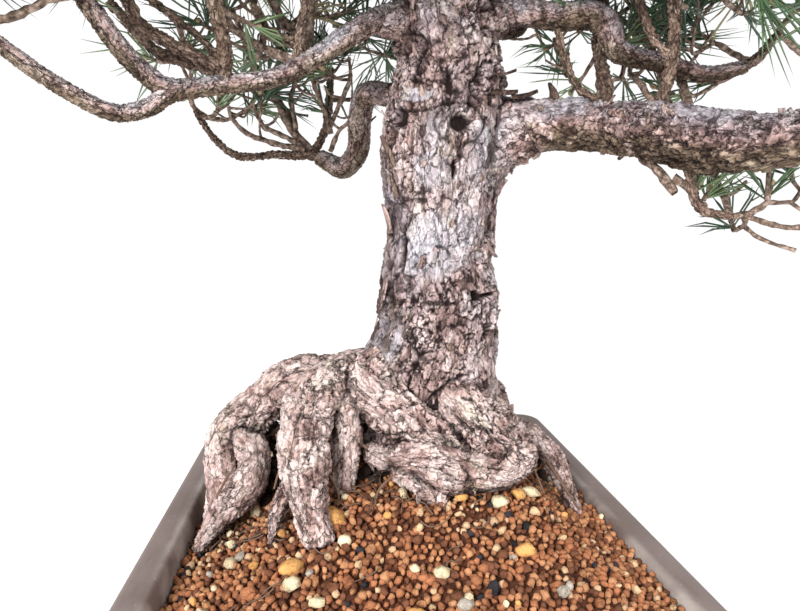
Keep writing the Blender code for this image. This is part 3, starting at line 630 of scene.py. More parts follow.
def bark(rest, radius, limb, normals, quiet):
    """Height of the bark in millimetres, and three tints: crack to plate, tone and paleness."""
    old = ease(radius, 4.5, 12.0)
    size = np.clip((radius / 28.0) ** 0.5, 0.42 + 0.40 * of_roots(limb), 1.0)
    place = rest + limb[:, None] * LIMB_SHIFT
    moved = bent(place, size) / size[:, None]
    _, gap_plate, tone_plate, way_plate = cells(moved / PLATE, 20)
    _, gap_flake, tone_flake, way_flake = cells(moved / FLAKE, 40)
    _, gap_scale, tone_scale, way_scale = cells(moved / SCALE, 60)
    calm = ease(noise(place / np.array([17.0, 17.0, 34.0]), 71) + quiet, 0.46, 0.70)
    rough = 1 - 0.8 * calm
    ridge = np.abs(noise(moved / FISSURE, 75) - 0.5) * 2
    split = noise(place / np.array([12.0, 12.0, 26.0]), 76) + 0.25 * ease(-normals[:, 0], 0.3, 0.8)
    fissure = ease(ridge, 0.0, 0.03 + 0.11 * ease(split, 0.40, 0.80))
    seam = ease(gap_plate, 0.0, 0.03 + 0.14 * noise(place / 9.0, 77))
    chink = ease(gap_flake, 0.0, 0.04 + 0.22 * noise(place / 5.0, 78))
    nick = ease(gap_scale, 0.0, 0.30)
    level = noise(moved / LAYERS, 81) * LAYER_COUNT + noise(moved / 5.0, 82) * 1.1
    step = level - np.floor(level)
    layer = np.floor(level) + ease(step, 0.0, 0.16) - LAYER_COUNT / 2
    height = layer * LAYER_STEP + (tone_plate - 0.5) * 1.5 + way_plate[:, 2] * 0.8
    height += (fissure - 1) * 2.2 * (1 - 0.5 * calm) + (seam - 1) * 1.0
    height += ((chink - 1) * 0.8 + (tone_flake - 0.5) * 0.8 + way_flake[:, 2] * 0.5) * rough
    height += ((nick - 1) * 0.3 + (tone_scale - 0.5) * 0.35) * rough
    young = (nick - 1) * 0.5 + way_scale[:, 2] * 0.6 + (chink - 1) * 0.35
    height = BARK_LIFT * np.clip(radius / 10.0, 0.2, 1.0) + height * old * size \
        + young * (1 - old) * np.clip(radius / 4.0, 0.5, 1.0)
    edge = 1 - 0.8 * ease(step, 0.88, 0.97) - 0.8 * (1 - ease(step, 0.02, 0.09))
    crack = np.minimum.reduce([fissure + 0.3 * calm, 0.15 + 0.85 * seam, chink * rough + 1 - rough,
                               np.clip(edge + 0.5 * calm, 0, 1)])
    crack = np.clip(crack, 0, 1) * old + (0.2 + 0.8 * nick) * (1 - old)
    tone = 0.38 * tone_plate + 0.37 * tone_flake + 0.25 * tone_scale
    tone = 0.5 + (tone - 0.5) * 1.5 + 0.14 * way_flake[:, 2] + 0.16 * calm
    # Painted shade: thick limbs are darker where they face left.
    tone = np.clip(tone - 0.18 * ease(-normals[:, 0], 0.4, 0.9) * ease(radius, 18, 24), 0, 1)
    pale = np.clip(0.30 + 0.40 * calm + 0.25 * normals[:, 2] + 0.4 * (tone_plate - 0.5), 0, 1)
    return height, crack, tone, pale


def near(place, size, points):
    """1 at a place, and 0 beyond its size."""
    return 1 - ease(np.linalg.norm((points - np.array(place)) / np.array(size), axis=1), 0.5, 1.0)


QUIET = {                      # places where the bark has come off smooth, and how smooth
    "face": ((22, 0, 214), (24, 16, 24), 0.30), "upper_face": ((14, 0, 262), (14, 16, 20), 0.12),
    "strip": ((33, -2, 234), (5, 12, 14), 0.35), "low_patch": ((24, -2, 174), (7, 12, 7), 0.30),
    "left_face": ((6, 2, 200), (10, 14, 14), 0.35),
    "side_patch": ((48, 4, 160), (8, 14, 12), 0.25), "bough_top": ((150, -88, 272), (26, 26, 9), 0.2),
}
wood_quiet = sum(near(place, size, wood_points) * much for place, size, much in QUIET.values())
wood_height, wood_crack, wood_tone, wood_pale = bark(wood_rest, wood_radius, wood_limb, wood_normals,
                                                     wood_quiet)
print("bark relief from", round(wood_height.min(), 2), "to", round(wood_height.max(), 2), "mm",
      "mean", round(float(wood_height.mean()), 2))

# %% [markdown]
# Scars and pits give a trunk its history: an old pruning scar, a knot hole with a rolled rim, a
# crease where the trunk was bent. Each is a soft dent or rise round one place.

# %% Scars, knot hole and crease on the trunk
MARKS = {                      # place, size, depth, rim, groove round it, shade painted in the dent (below 0, a pale scar)
    "pruning_scar": ((9, 0, 286), (10.5, 12, 3.9), -0.6, 0.7, 1.2, -1.0),
    "knot_hole": ((28, -4, 273), (6.5, 9, 5.2), 4.5, 1.6, 1.3, 1.0),
    "left_hole": ((2, 3, 276), (3.4, 6, 5), 3.0, 0.6, 0.0, 1.0),
    "crease": ((41, 1, 192), (9, 12, 1.5), 2.2, 1.2, 0.0, 1.0),
    "crease_pit": ((37, -3, 192), (4, 8, 3), 3.0, 0.5, 0.0, 1.0),
    "fold": ((20, -3, 189), (11, 9, 1.5), 1.2, 0.9, 0.0, 0.8),
    "shoulder_pit": ((25.5, -3, 252), (1.8, 7, 6), 2.4, 0.4, 0.0, 1.0),
    "high_split": ((23, -4, 289), (1.8, 7, 9), 2.2, 0.4, 0.0, 1.0),
    "foot_pit": ((44, 0, 172), (2.4, 8, 6), 2.0, 0.4, 0.0, 0.9),
    "left_split": ((4.2, 4, 214), (1.4, 9, 15), 2.2, 0.3, 0.0, 1.0),
    "side_split": ((-1.5, 6, 201), (1.5, 10, 18), 2.4, 0.3, 0.0, 1.0),
}
wood_x, wood_y, wood_z = wood_points.T
facing_right, _, facing_up = wood_normals.T
to_front = (wood_normals * np.array([0.1, -1.0, 0.1])).sum(axis=1)
facing = ease(to_front, 0.1, 0.5)
# Shade is painted into each dent and, as painted shadow, into the groove round it; a shade below 0 makes a
# pale scar.
for place, size, depth, rim, ditch_depth, shade_and_scar in MARKS.values():
    far = np.linalg.norm((wood_points - np.array(place)) / np.array(size), axis=1)
    far = far * (1 + 0.25 * (noise(wood_points / 4.0, 91) - 0.5))
    dent = (1 - ease(far, 0.65, 1.0)) * facing
    ring = np.exp(-((far - 1.15) / 0.2) ** 2) * facing
    ditch = np.exp(-((far - 1.75) / 0.16) ** 2) * facing * min(ditch_depth, 1)
    wood_height = wood_height * (1 - 0.8 * dent) - depth * dent + rim * ring - ditch_depth * ditch
    wood_crack = wood_crack * (1 - dent * max(shade_and_scar, 0)) * (1 - 0.8 * ditch)
    if shade_and_scar < 0:
        wood_crack = np.maximum(wood_crack, dent)
        wood_tone = wood_tone * (1 - dent) + 0.66 * dent
        wood_pale = wood_pale * (1 - dent) + dent
    wood_tone = np.clip(wood_tone + ring * 0.2, 0, 1)
print("marks:", ", ".join(MARKS))

# %% [markdown]
# A limb's place on the tree colours it too. Roots are lumpy and pink, with painted shade in the
# grooves between them, and painted shade and some dirt where they are closed in; old trunk is grey,
# and boughs are brown below, with painted shade under them and painted light on top. When height
# and tints are done, the skin is moved and carries both tint and place as attributes.

# %% Grooves, painted shade, dirt and the colour of each place
REST_SHIFT = 61.0              # parts the shader's patterns of two limbs

# Roots are lumpy, and a groove parts each from its neighbours, with shade painted into it.
is_root = of_roots(wood_limb)
is_trunk = wood_limb == 0
low_down = 1 - ease(wood_z, 138, 160)
groove_and_shade = (1 - ease(wood_margin, 0.0, 3.2)) * low_down * (0.35 + 0.65 * noise(wood_points / 9.0, 93))
wood_height += is_root * ((noise(wood_points / 15.0, 94) - 0.5) * 4.0 + 0.3 * wood_height) - groove_and_shade * 2.6
wood_height *= 1 + 0.35 * ease(wood_z, 285, 312) * is_trunk
# Painted shade where a place is closed in, and some dirt where it meets the soil.
shade_and_dirt = ease(wood_closed, 0.26, 0.62)
wood_crack = wood_crack * (1 - 0.85 * groove_and_shade) * (1 - 0.75 * shade_and_dirt)
wood_tone = np.clip(wood_tone - 0.25 * shade_and_dirt - 0.2 * groove_and_shade, 0, 1)
shady_side = ease(-facing_right, 0.55, 0.85) * ease(wood_z, 158, 175)
shady_side *= (1 - ease(wood_z, 240, 262)) * is_trunk
wood_tone -= 0.45 * shady_side
wood_crack *= 1 - 0.35 * shady_side
wood_tone = np.clip(wood_tone, 0, 1)
wood_crack = np.clip(wood_crack, 0, 1) ** np.where(is_root, 0.7, 0.85)
# The warmth of the colour: roots are pink, old trunk grey, young and shaded bark brown.
wood_warm = np.where(is_root, 0.92, 0.12) + 0.5 * ease(-facing_up, 0.1, 0.7)
wood_warm += 0.35 * (1 - ease(wood_z, 150, 190)) + 0.9 * (noise(wood_points / 14.0, 95) - 0.5)
wood_warm = np.clip(wood_warm, 0, 1) * 0.5
# Boughs are grey above and brown below; painted shade darkens their undersides and painted light brightens
# their tops.
out = ease(np.hypot(wood_x - 24, wood_y - 23), 32, 62) * (wood_z > 225)
brown_and_shade = out * ease(-facing_up + 0.5 * (noise(wood_points / 11.0, 96) - 0.5), -0.35, 0.55)
wood_warm = wood_warm * (1 - brown_and_shade) + brown_and_shade
wood_pale = np.clip(wood_pale + 0.3 * out * facing_up, 0, 1)
wood_tone += out * (0.15 * facing_up - 0.18 + 0.36 * (wood_x < 0))
# Roots get blotches, darker low down; painted light makes the roots on the left lighter.
blotch = 1.5 * (noise(wood_points / 7.0, 97) - 0.5) - 0.25 * (1 - ease(wood_z, 84, 104))
wood_tone += is_root * (0.33 + 0.14 * ease(-wood_x, 0, 60) + blotch)
wood_tone += 0.06 * is_trunk
wood_tone -= 0.08 * ease(wood_z, 262, 300) * (1 - out)
wood_tone = np.clip(wood_tone, 0, 1)
wood_points += wood_normals * wood_height[:, None]
set_corners(wood, wood_points)
set_pattern(wood, np.stack([wood_crack, wood_tone, wood_pale, wood_warm], axis=1),
            wood_rest + wood_limb[:, None] * REST_SHIFT)
wood.update()
print("tone from", round(wood_tone.min(), 2), "to", round(wood_tone.max(), 2), "mean",
      round(wood_tone.mean(), 2))

# %% [markdown]
# ## Materials
# A material is a web of nodes. This class adds a node and links it in one call, so that a finish
# reads like a formula.

# %% A short way to build materials
class Nodes:
    """A material and its web of nodes."""

    def __init__(self, name, roughness=0.85, **plain):
        self.material = bpy.data.materials.new(name)
        self.material.use_nodes = True
        self.tree = self.material.node_tree
        self.shader = self.tree.nodes["Principled BSDF"]
        self.shader.inputs["Roughness"].default_value = roughness
        for key, value in plain.items():
            self.shader.inputs[key.replace("_", " ")].default_value = value

    def add(self, kind, **values):
        """A new node with these settings."""
        node = self.tree.nodes.new(kind)
        for key, value in values.items():
            setattr(node, key, value)
        return node

    def join(self, source, target):
        self.tree.links.new(source, target)

    def put(self, value, target):
        """Link a socket, or set a plain value."""
        if isinstance(value, bpy.types.NodeSocket):
            self.join(value, target)
        else:
            target.default_value = value

    def math(self, operation, first, second=0.0, clamp=False, third=0.0):
        """One operation on sockets or plain values."""
        node = self.add("ShaderNodeMath", operation=operation, use_clamp=clamp)
        for value, socket in zip((first, second, third), node.inputs):
            self.put(value, socket)
        return node.outputs[0]

    def ramp(self, value, stops):
        """Colours along a value, from places and colours; a bare number is a grey."""
        node = self.add("ShaderNodeValToRGB")
        while len(node.color_ramp.elements) < len(stops):
            node.color_ramp.elements.new(0.5)
        for element, (place, colour) in zip(node.color_ramp.elements, stops):
            element.position = place
            element.color = (*(colour if isinstance(colour, tuple) else (colour,) * 3), 1.0)
        self.join(value, node.inputs[0])
        return node.outputs[0]

    def mix(self, share, first, second):
        """A mix of two colours, each a socket or a plain colour."""
        node = self.add("ShaderNodeMix", data_type="RGBA")
        self.put(share, node.inputs[0])
        for value, key in ((first, 6), (second, 7)):
            self.put((*value, 1.0) if isinstance(value, tuple) else value, node.inputs[key])
        return node.outputs[2]

    def coordinates(self, attribute=None, scale=(1, 1, 1)):
        """Object coordinates, or a vector attribute, scaled."""
        mapping = self.add("ShaderNodeMapping")
        mapping.inputs["Scale"].default_value = scale
        if attribute:
            source = self.add("ShaderNodeAttribute", attribute_name=attribute)
            self.join(source.outputs["Vector"], mapping.inputs["Vector"])
        else:
            source = self.add("ShaderNodeTexCoord")
            self.join(source.outputs["Object"], mapping.inputs["Vector"])
        return mapping.outputs[0]

    def noise(self, where, scale, detail=4.0, rough=0.55):
        """Noise from 0 to 1 at these coordinates."""
        node = self.add("ShaderNodeTexNoise")
        self.join(where, node.inputs["Vector"])
        node.inputs["Scale"].default_value = scale
        node.inputs["Detail"].default_value = detail
        node.inputs["Roughness"].default_value = rough
        return node.outputs[0]

    def bump(self, height, strength, distance, after=None):
        """Relief for the light only, on top of an earlier one."""
        node = self.add("ShaderNodeBump")
        node.inputs["Strength"].default_value = strength
        node.inputs["Distance"].default_value = distance
        self.join(height, node.inputs["Height"])
        if after is not None:
            self.join(after, node.inputs["Normal"])
        self.join(node.outputs[0], self.shader.inputs["Normal"])
        return node.outputs[0]

    def colour(self, socket):
        """Use a socket as the material's colour."""
        self.join(socket, self.shader.inputs["Base Color"])


def plain_finish(name, colour, roughness):
    """A material of one plain screen colour."""
    kit = Nodes(name, roughness=roughness)
    kit.shader.inputs["Base Color"].default_value = (*linear(*colour), 1.0)
    return kit.material


print("kinds of node steps:", [name for name in vars(Nodes) if not name.startswith("_")])

# %% [markdown]
# ## Finish of the bark
# The tints that came with the relief choose between near-black cracks and four bark colours,
# and fine noise along the limb adds grain. The shader reads them as attributes of the mesh.

# %% Bark material
def ramp_of(*colours):
    """Stops of a colour ramp from dark scale to pale scale."""
    return [(place, linear(*colour)) for place, colour in zip((0.16, 0.40, 0.60, 0.84), colours)]


CRACK = linear(31, 19, 19)
COOL = ramp_of((92, 83, 88), (140, 132, 138), (166, 160, 166), (186, 182, 188))
WARM = ramp_of((88, 68, 64), (147, 120, 114), (184, 157, 150), (212, 192, 186))
OCHRE = ramp_of((90, 76, 61), (138, 121, 101), (165, 151, 130), (187, 177, 159))
BROWN = ramp_of((66, 52, 42), (106, 89, 74), (136, 118, 101), (168, 152, 136))


def bark_finish(name, crack, cool, warm, ochre, brown):
    """Bark from its tints, with scales and hair cracks finer than the mesh can hold."""
    kit = Nodes(name, roughness=0.9, Specular_IOR_Level=0.2)
    tints = kit.add("ShaderNodeSeparateColor")
    attribute = kit.add("ShaderNodeAttribute", attribute_name="bark")
    kit.join(attribute.outputs["Color"], tints.inputs[0])
    place = kit.coordinates("rest", (1, 1, 0.45))
    moved = kit.add("ShaderNodeVectorMath", operation="MULTIPLY_ADD")
    kit.join(kit.noise(place, 0.34, 5.0, 0.62).node.outputs["Color"], moved.inputs[0])
    moved.inputs[1].default_value = (6.5, 6.5, 6.5)
    kit.join(place, moved.inputs[2])
    lines = []
    tones = []
    for scale, width in ((0.145, 0.050), (0.34, 0.070)):
        cell = kit.add("ShaderNodeTexVoronoi", feature="DISTANCE_TO_EDGE")
        body = kit.add("ShaderNodeTexVoronoi", feature="F1")
        own = kit.add("ShaderNodeSeparateColor")
        for node in (cell, body):
            node.inputs["Scale"].default_value = scale
            kit.join(moved.outputs[0], node.inputs["Vector"])
        kit.join(body.outputs["Color"], own.inputs[0])
        lines.append(kit.ramp(cell.outputs["Distance"], [(0.0, 0), (width, 1)]))
        tones.append(own.outputs[0])
    grain = kit.noise(place, 0.50, 6.0, 0.66)
    wide = kit.noise(moved.outputs[0], 0.085, 3.0, 0.5)
    level = kit.math("FRACT", kit.math("MULTIPLY", wide, 16.0))
    contour = kit.ramp(level, [(0.0, 0), (0.14, 1), (1.0, 0.8)])
    patch = kit.noise(place, 0.11, 3.0, 0.55)
    tone = kit.math("MULTIPLY_ADD", tints.outputs[1], 0.55, third=-0.10)
    tone = kit.math("MULTIPLY_ADD", tones[0], 0.20, third=tone)
    tone = kit.math("MULTIPLY_ADD", tones[1], 0.10, third=tone)
    tone = kit.math("MULTIPLY_ADD", grain, 0.36, third=tone)
    colour = kit.mix(kit.ramp(tints.outputs[2], [(0.1, 0), (0.9, 1)]), kit.ramp(tone, warm),
                     kit.ramp(tone, cool))
    hue = attribute.outputs["Alpha"]
    colour = kit.mix(kit.ramp(hue, [(0.0, 0), (0.5, 1)]), colour, kit.ramp(tone, warm))
    colour = kit.mix(kit.ramp(hue, [(0.5, 0), (0.95, 1)]), colour, kit.ramp(tone, brown))
    colour = kit.mix(kit.ramp(patch, [(0.57, 0), (0.70, 0.6)]), colour, kit.ramp(tone, ochre))
    calm = kit.ramp(tints.outputs[2], [(0.60, 1), (1.0, 0.6)])
    for line, much in ((lines[1], 0.55), (contour, 0.75), (lines[0], 0.92)):
        share = kit.ramp(line, [(0.0, much), (1.0, 0)])
        colour = kit.mix(kit.math("MULTIPLY", share, calm), colour, crack)
    open_crack = kit.ramp(tints.outputs[0], [(0.08, 1), (0.30, 0.72), (0.62, 0)])
    kit.colour(kit.mix(open_crack, colour, crack))
    steps = kit.math("MULTIPLY_ADD", lines[0], 0.7, third=kit.math("MULTIPLY", tones[0], 0.9))
    steps = kit.math("ADD", steps, kit.math("MULTIPLY_ADD", lines[1], 0.3,
                                            third=kit.math("MULTIPLY", tones[1], 0.4)))
    steps = kit.math("MULTIPLY_ADD", contour, 0.5, third=steps)
    low = kit.bump(steps, 0.9, 0.0007)
    kit.bump(grain, 0.5, 0.0007, low)
    return kit.material


old_bark = bark_finish("old_bark", CRACK, COOL, WARM, OCHRE, BROWN)
print("materials:", old_bark.name)

# %% [markdown]
# The skin is dealt out into pieces: roots, trunk and boughs, each small enough to keep all of
# its faces. Every piece keeps the normals of the whole skin, so no seam shows.

# %% Deal the wood out into pieces
WOOD_PARTS = 4                 # parts of trunk and roots, one above the other


def split_skin(mesh, groups, names, slots, nodes):
    """Pieces of one skin of quads, by the group of each face."""
    corners = array_of(mesh.vertices) / MM
    normals = array_of(mesh.vertex_normals, "vector")
    tints = array_of(mesh.attributes["bark"].data, "color", 4)
    places = array_of(mesh.attributes["rest"].data, "vector")
    faces = quads_of(mesh)
    for number, name in enumerate(names):
        used, renumbered = np.unique(faces[groups == number], return_inverse=True)
        piece = mesh_of_arrays(name, corners[used], renumbered.reshape(-1, 4))
        set_pattern(piece, tints[used], places[used])
        piece.normals_split_custom_set_from_vertices([tuple(n) for n in normals[used]])
        place_piece(piece, name, old_bark, slots[number], *nodes[number])


first_bough = 1 + len(ROOTS) + len(SHOULDERS)
first_corners = quads_of(wood)[:, 0]
limb_of_face = wood_limb[first_corners]
height_of_face = wood_points[first_corners, 2]
old_wood = limb_of_face < first_bough
cuts = np.quantile(height_of_face[old_wood], [k / WOOD_PARTS for k in range(1, WOOD_PARTS)])
groups = np.where(old_wood, np.searchsorted(cuts, height_of_face), WOOD_PARTS)
bough_nodes = ["bough_" + name for name in boughs]
split_skin(wood, groups, ["wood_roots", "wood_foot", "wood_trunk", "wood_top", "wood_boughs"],
           ["bark"] * WOOD_PARTS + ["young_bark"], [["trunk"]] * WOOD_PARTS + [bough_nodes])
wood_normals = array_of(wood.vertex_normals, "vector")
bpy.data.meshes.remove(wood)

# %% [markdown]
# Here and there a scale has come loose and stands off the trunk, most of all at its sides, where
# it shows against the light. A loose scale is a small bent plate with one edge still held.

# %% Loose scales of bark
LOOSE_SCALES = 620
SCALE_STEPS = 4
ROOT_TOP, ROOT_FOOT = 168, 95  # heights between which the roots carry smaller scales


def loose_scale(root, normal, upward, size, lift, curl, draw):
    """Corners and quads of a thin bent plate that is held along its first edge."""
    across = np.cross(upward, normal)
    across /= np.linalg.norm(across) + 1e-9
    rows = []
    for step in range(SCALE_STEPS):
        share = step / (SCALE_STEPS - 1)
        middle = root + upward * size[1] * share + normal * (size[1] * (lift * share + curl * share ** 2))
        half = size[0] / 2 * (1 - 0.55 * share ** 2) * draw.uniform(0.75, 1.15)
        bow = normal * size[0] * 0.12
        rows.append([middle - across * half, middle + bow, middle + across * half])
    top = np.array(rows).reshape(-1, 3)
    top += draw.uniform(-0.25, 0.25, top.shape)
    corners = np.concatenate([top, top - normal * draw.uniform(0.35, 0.6)])
    count = len(top)
    faces = []
    for row in range(SCALE_STEPS - 1):
        for column in range(2):
            a, b = row * 3 + column, row * 3 + column + 1
            faces.append((a, b, b + 3, a + 3))
            faces.append((a + count + 3, b + count + 3, b + count, a + count))
    rim = [0, 1, 2] + [3 * k + 2 for k in range(1, SCALE_STEPS)]
    rim += [3 * (SCALE_STEPS - 1) + 1, 3 * (SCALE_STEPS - 1)] + [3 * k for k in range(SCALE_STEPS - 2, 0, -1)]
    for here, after in zip(rim, rim[1:] + rim[:1]):
        faces.append((after, here, here + count, after + count))
    return corners, np.array(faces)


def along_skin(upward, normal):
    """The part of a direction that lies in the skin, of length 1."""
    return unit(upward - normal * (upward @ normal))


draw = np.random.default_rng(7)
side = np.abs(wood_normals[:, 0]) ** 2 * 0.5 + 0.2
low = wood_points[:, 2] <= ROOT_TOP
wanted = np.where(~low & (wood_radius > 9), side, 0.0)
wanted += np.where(low & (wood_points[:, 2] > ROOT_FOOT), 0.30, 0.0)
chosen = draw.choice(len(wood_points), LOOSE_SCALES, replace=False, p=wanted / wanted.sum())
parts = []
for index in chosen:
    normal = wood_normals[index]
    upward = np.array([draw.normal(0, 0.3), draw.normal(0, 0.3), draw.choice([1.0, -1.0], p=[0.45, 0.55])])
    if wood_limb[index] >= first_bough:
        upward = draw.normal(size=3)
    upward = along_skin(upward, normal)
    size = np.array([draw.uniform(2.0, 4.6), draw.uniform(2.5, 7.5)]) * (0.75 if low[index] else 1.0)
    off = 0.35 if low[index] else 0.75
    parts.append(loose_scale(wood_points[index] - normal * 0.4, normal, upward, size,
                             draw.uniform(-0.05, 0.22) * off, draw.uniform(-0.05, 0.25) * off, draw))
SCALE_TINTS = ((0.7, 1.0), (0.2, 0.8), (0.1, 0.7), (0, 0.8))     # crack, tone, paleness, warmth
CURLS = [          # the large loose scales: root, ways out of the bark and along, size, lift, curl
    ((-2, 6, 253), (-0.9, -0.4, 0), (-0.35, 0, 1), (6, 15), 0.10, 0.25),
    ((0, 8, 238), (-0.9, -0.4, 0), (-0.1, 0, 1), (5, 12), 0.15, 0.2),
    ((-3, 10, 222), (-1, -0.3, 0), (-0.1, 0, 1), (6, 14), 0.12, 0.15),
    ((-5, 10, 200), (-1, -0.3, 0), (-0.05, 0, -1), (6, 16), 0.10, 0.10),
    ((49, 8, 236), (1, -0.3, 0), (0.2, 0, 1), (5, 12), 0.15, 0.3),
    ((49, 10, 164), (1, -0.5, 0), (0.0, 0, -1), (9, 20), 0.10, 0.02),
    ((46, 8, 148), (1, -0.4, 0), (0.12, 0, -1), (4, 10), 0.08, 0.05),
    ((44, 4, 289.5), (0.2, -0.5, 1), (1, -0.05, -0.22), (8, 13), 0.0, 0.16),
    ((54, 3, 286.8), (0.1, -0.5, 1), (1, -0.05, -0.16), (7, 12), 0.02, 0.30),
    ((75, 1, 284), (-0.9, -0.5, 0.3), (-0.2, 0, 1), (5, 7), 0.1, 0.7),
    ((43, 6, 298), (0.3, -0.4, 1), (1, 0, -0.35), (5, 13), -0.05, 0.45),
]
for root, normal, upward, size, lift, curl in CURLS:
    normal = unit(np.array(normal, float))
    upward = along_skin(np.array(upward, float), normal)
    parts.append(loose_scale(np.array(root, float), normal, upward, size, lift, curl, draw))
scale_mesh = mesh_of_arrays("loose_bark", *joined(parts), smooth=False)
corners_of_scale = SCALE_STEPS * 6
tints = np.stack([draw.uniform(least, most, len(parts)) for least, most in SCALE_TINTS], axis=1)
tints[-4:] = (0.7, 0.0, 0.2, 0.8)      # the last four curls are dark and brown
set_pattern(scale_mesh, np.repeat(tints, corners_of_scale, axis=0), array_of(scale_mesh.vertices) / MM)
place_piece(scale_mesh, "loose_bark", old_bark, "bark", "trunk")

# %% [markdown]
# ## Leading shoots
# The stems that carry each mass of foliage are young wood, still rough with the stubs of fallen
# needles. They are melted into a skin of their own, finer than the trunk's.

# %% Skin of the leading shoots
SHOOT_VOXEL = 0.62
SHOOT_ROUNDS = 3
STUB = (1.9, 1.9, 2.6)


def shoot_relief(rest, radius, normals):
    """Close-set stubs in rows round the shoot, like the scars of needles."""
    _, gap, tone, way = cells(rest / STUB, 140)
    lumps = noise(rest / 5.0, 151) - 0.5
    height = ease(gap, 0.0, 0.5) * 0.75 + way[:, 2] * 0.8 + lumps * 1.2 - 1.0
    crack = 0.25 + 0.75 * ease(gap, 0.0, 0.3)
    pale = np.clip(0.25 + 0.45 * normals[:, 2] + 0.4 * (tone - 0.5), 0, 1)
    return height * np.clip(radius / 3.4, 0.6, 1.0), crack, 0.2 + 0.5 * tone, pale


shoot_paths = [path for data in masses.values() for path in data[3]]
stems = melted(shoot_paths, SHOOT_VOXEL, SHOOT_ROUNDS)
stem_points = array_of(stems.vertices) / MM
stem_normals = array_of(stems.vertex_normals, "vector")
stem_rest, stem_radius, stem_limb, _ = unroll(stem_points, limb_samples(shoot_paths))
stem_rest = stem_rest + stem_limb[:, None] * LIMB_SHIFT
height, crack, tone, pale = shoot_relief(stem_rest, stem_radius, stem_normals)
set_corners(stems, stem_points + stem_normals * height[:, None])
set_pattern(stems, np.stack([crack, tone, pale, pale], axis=1), stem_rest)
stems.shade_smooth()
young_bark = bark_finish("young_bark", linear(48, 36, 30), ramp_of(
    (78, 67, 60), (124, 108, 98), (160, 144, 134), (206, 194, 185)), ramp_of(
    (70, 55, 47), (114, 92, 80), (150, 128, 114), (196, 177, 163)), ramp_of(
    (76, 63, 50), (118, 99, 80), (154, 135, 112), (200, 184, 162)), BROWN)
foliage_nodes = ["foliage_" + name for name in masses]
place_piece(stems, "leading_shoots", young_bark, "young_bark", *foliage_nodes)

# %% [markdown]
# ## The rule that fills a mass
# A pine's shoots share out the light: each takes the emptiest place that its mass still has.
# The seeds and the first places are the solids' own; the rule then goes on to many more. Inner
# and lower twigs, which stand in shade, stay bare.

# %% Choose the places of the shoots
SEED = 20
SPRAYS_PER_MASS = 9
SPARE_SPRAYS = 1
SPRAY_FILL = 0.64
SPRAY_TRIALS = 160
SPRAY_ROOM = 6.0
LIMB_CLEARANCE = 1.6
MASS_MARGIN = 0.07
TWIG_LIFT = 0.35
MORE_TRIALS = 520
SHOOTS_PER_MASS = 46
MORE_FILL = 0.80
SHADE = (333.0, 0.329)         # few needles below this height, which rises towards the back
TUFTS = {                      # the few shoots that stay green in the shade
    "left_twigs": [(-68, -15, 312), (-93, -10, 304), (-89, 2, 303), (-107, 5, 299), (-104, -28, 322)],
    "left_inner": [(-66, 30, 308), (-4, 56, 317), (-12, 62, 326), (-31, 40, 329), (-56, 44, 314)],
    "left_back": [(-98, 90, 291), (-75, 90, 299), (-20, 95, 300), (-60, 78, 322), (-110, 84, 312),
                  (-84, 96, 310), (-44, 100, 322)],
    "left_low": [(-112, -58, 312), (-130, -50, 306)],
    "right_column": [(97, 60, 328), (101, 55, 308), (104, 40, 304), (131, 50, 307), (141, 40, 322),
                     (115, 15, 319), (122, 30, 330)],
    "right_tip": [(136, 10, 321), (141, 0, 309), (138, -10, 322), (151, 30, 294), (157, 20, 292),
                  (160, 12, 316), (172, 24, 300)],
    "right_under": [(150, -50, 236), (168, -40, 246), (150, -30, 224), (176, -60, 230)],
    "right_mid": [(120, -30, 318), (136, -44, 312)],
}
FULL_TUFTS = [(-4, 56, 317), (-12, 62, 326), (-75, 90, 299), (141, 40, 322), (138, -10, 322)]


class Crown:
    """Says which mass owns a place, and which places the limbs fill."""

    def __init__(self):
        self.names = list(masses)
        self.centres = np.array([masses[n][0] for n in self.names], float)
        self.halves = np.array([masses[n][1] for n in self.names], float)
        fixed = self.samples([TRUNK] + list(ROOTS.values()) + list(boughs.values()))
        shoots = {n: self.samples(masses[n][3]) for n in self.names}
        self.others = {name: np.concatenate([fixed] + [s for n, s in shoots.items() if n != name])
                       for name in self.names}

    @staticmethod
    def samples(paths):
        return np.array([p for path in paths for p in smooth_path(path, 6)])

    def owned(self, index, place):
        shares = (((place - self.centres) / self.halves) ** 2).sum(axis=1)
        others = np.delete(shares, index).min()
        return shares[index] < 1.0 and others - shares[index] > MASS_MARGIN * 2

    def clear(self, index, place, radius):
        every = self.others[self.names[index]]
        gaps = np.linalg.norm(every[:, :3] - place, axis=1) - every[:, 3]
        return gaps.min() > radius + LIMB_CLEARANCE


def free_places(crown, index, number, fill, rng):
    """Seeded places that lie in a mass and clear of the limbs."""
    centre, half = masses[crown.names[index]][:2]
    free = []
    while len(free) < number:
        point = jolt(rng, 1)
        place = np.array(centre) + point * np.array(half) * fill
        if np.dot(point, point) < 1 and crown.owned(index, place) \
                and crown.clear(index, place, SPRAY_ROOM):
            free.append(place)
    return np.array(free)


def farthest_first(chosen, free, number):
    """Add places, each as far as it can be from those already chosen."""
    chosen = list(chosen)
    gaps = np.min([np.linalg.norm(free - c, axis=1) for c in chosen], axis=0)
    while len(chosen) < number:
        best = int(np.argmax(gaps))
        chosen.append(free[best])
        gaps = np.minimum(gaps, np.linalg.norm(free - free[best], axis=1))
    return chosen


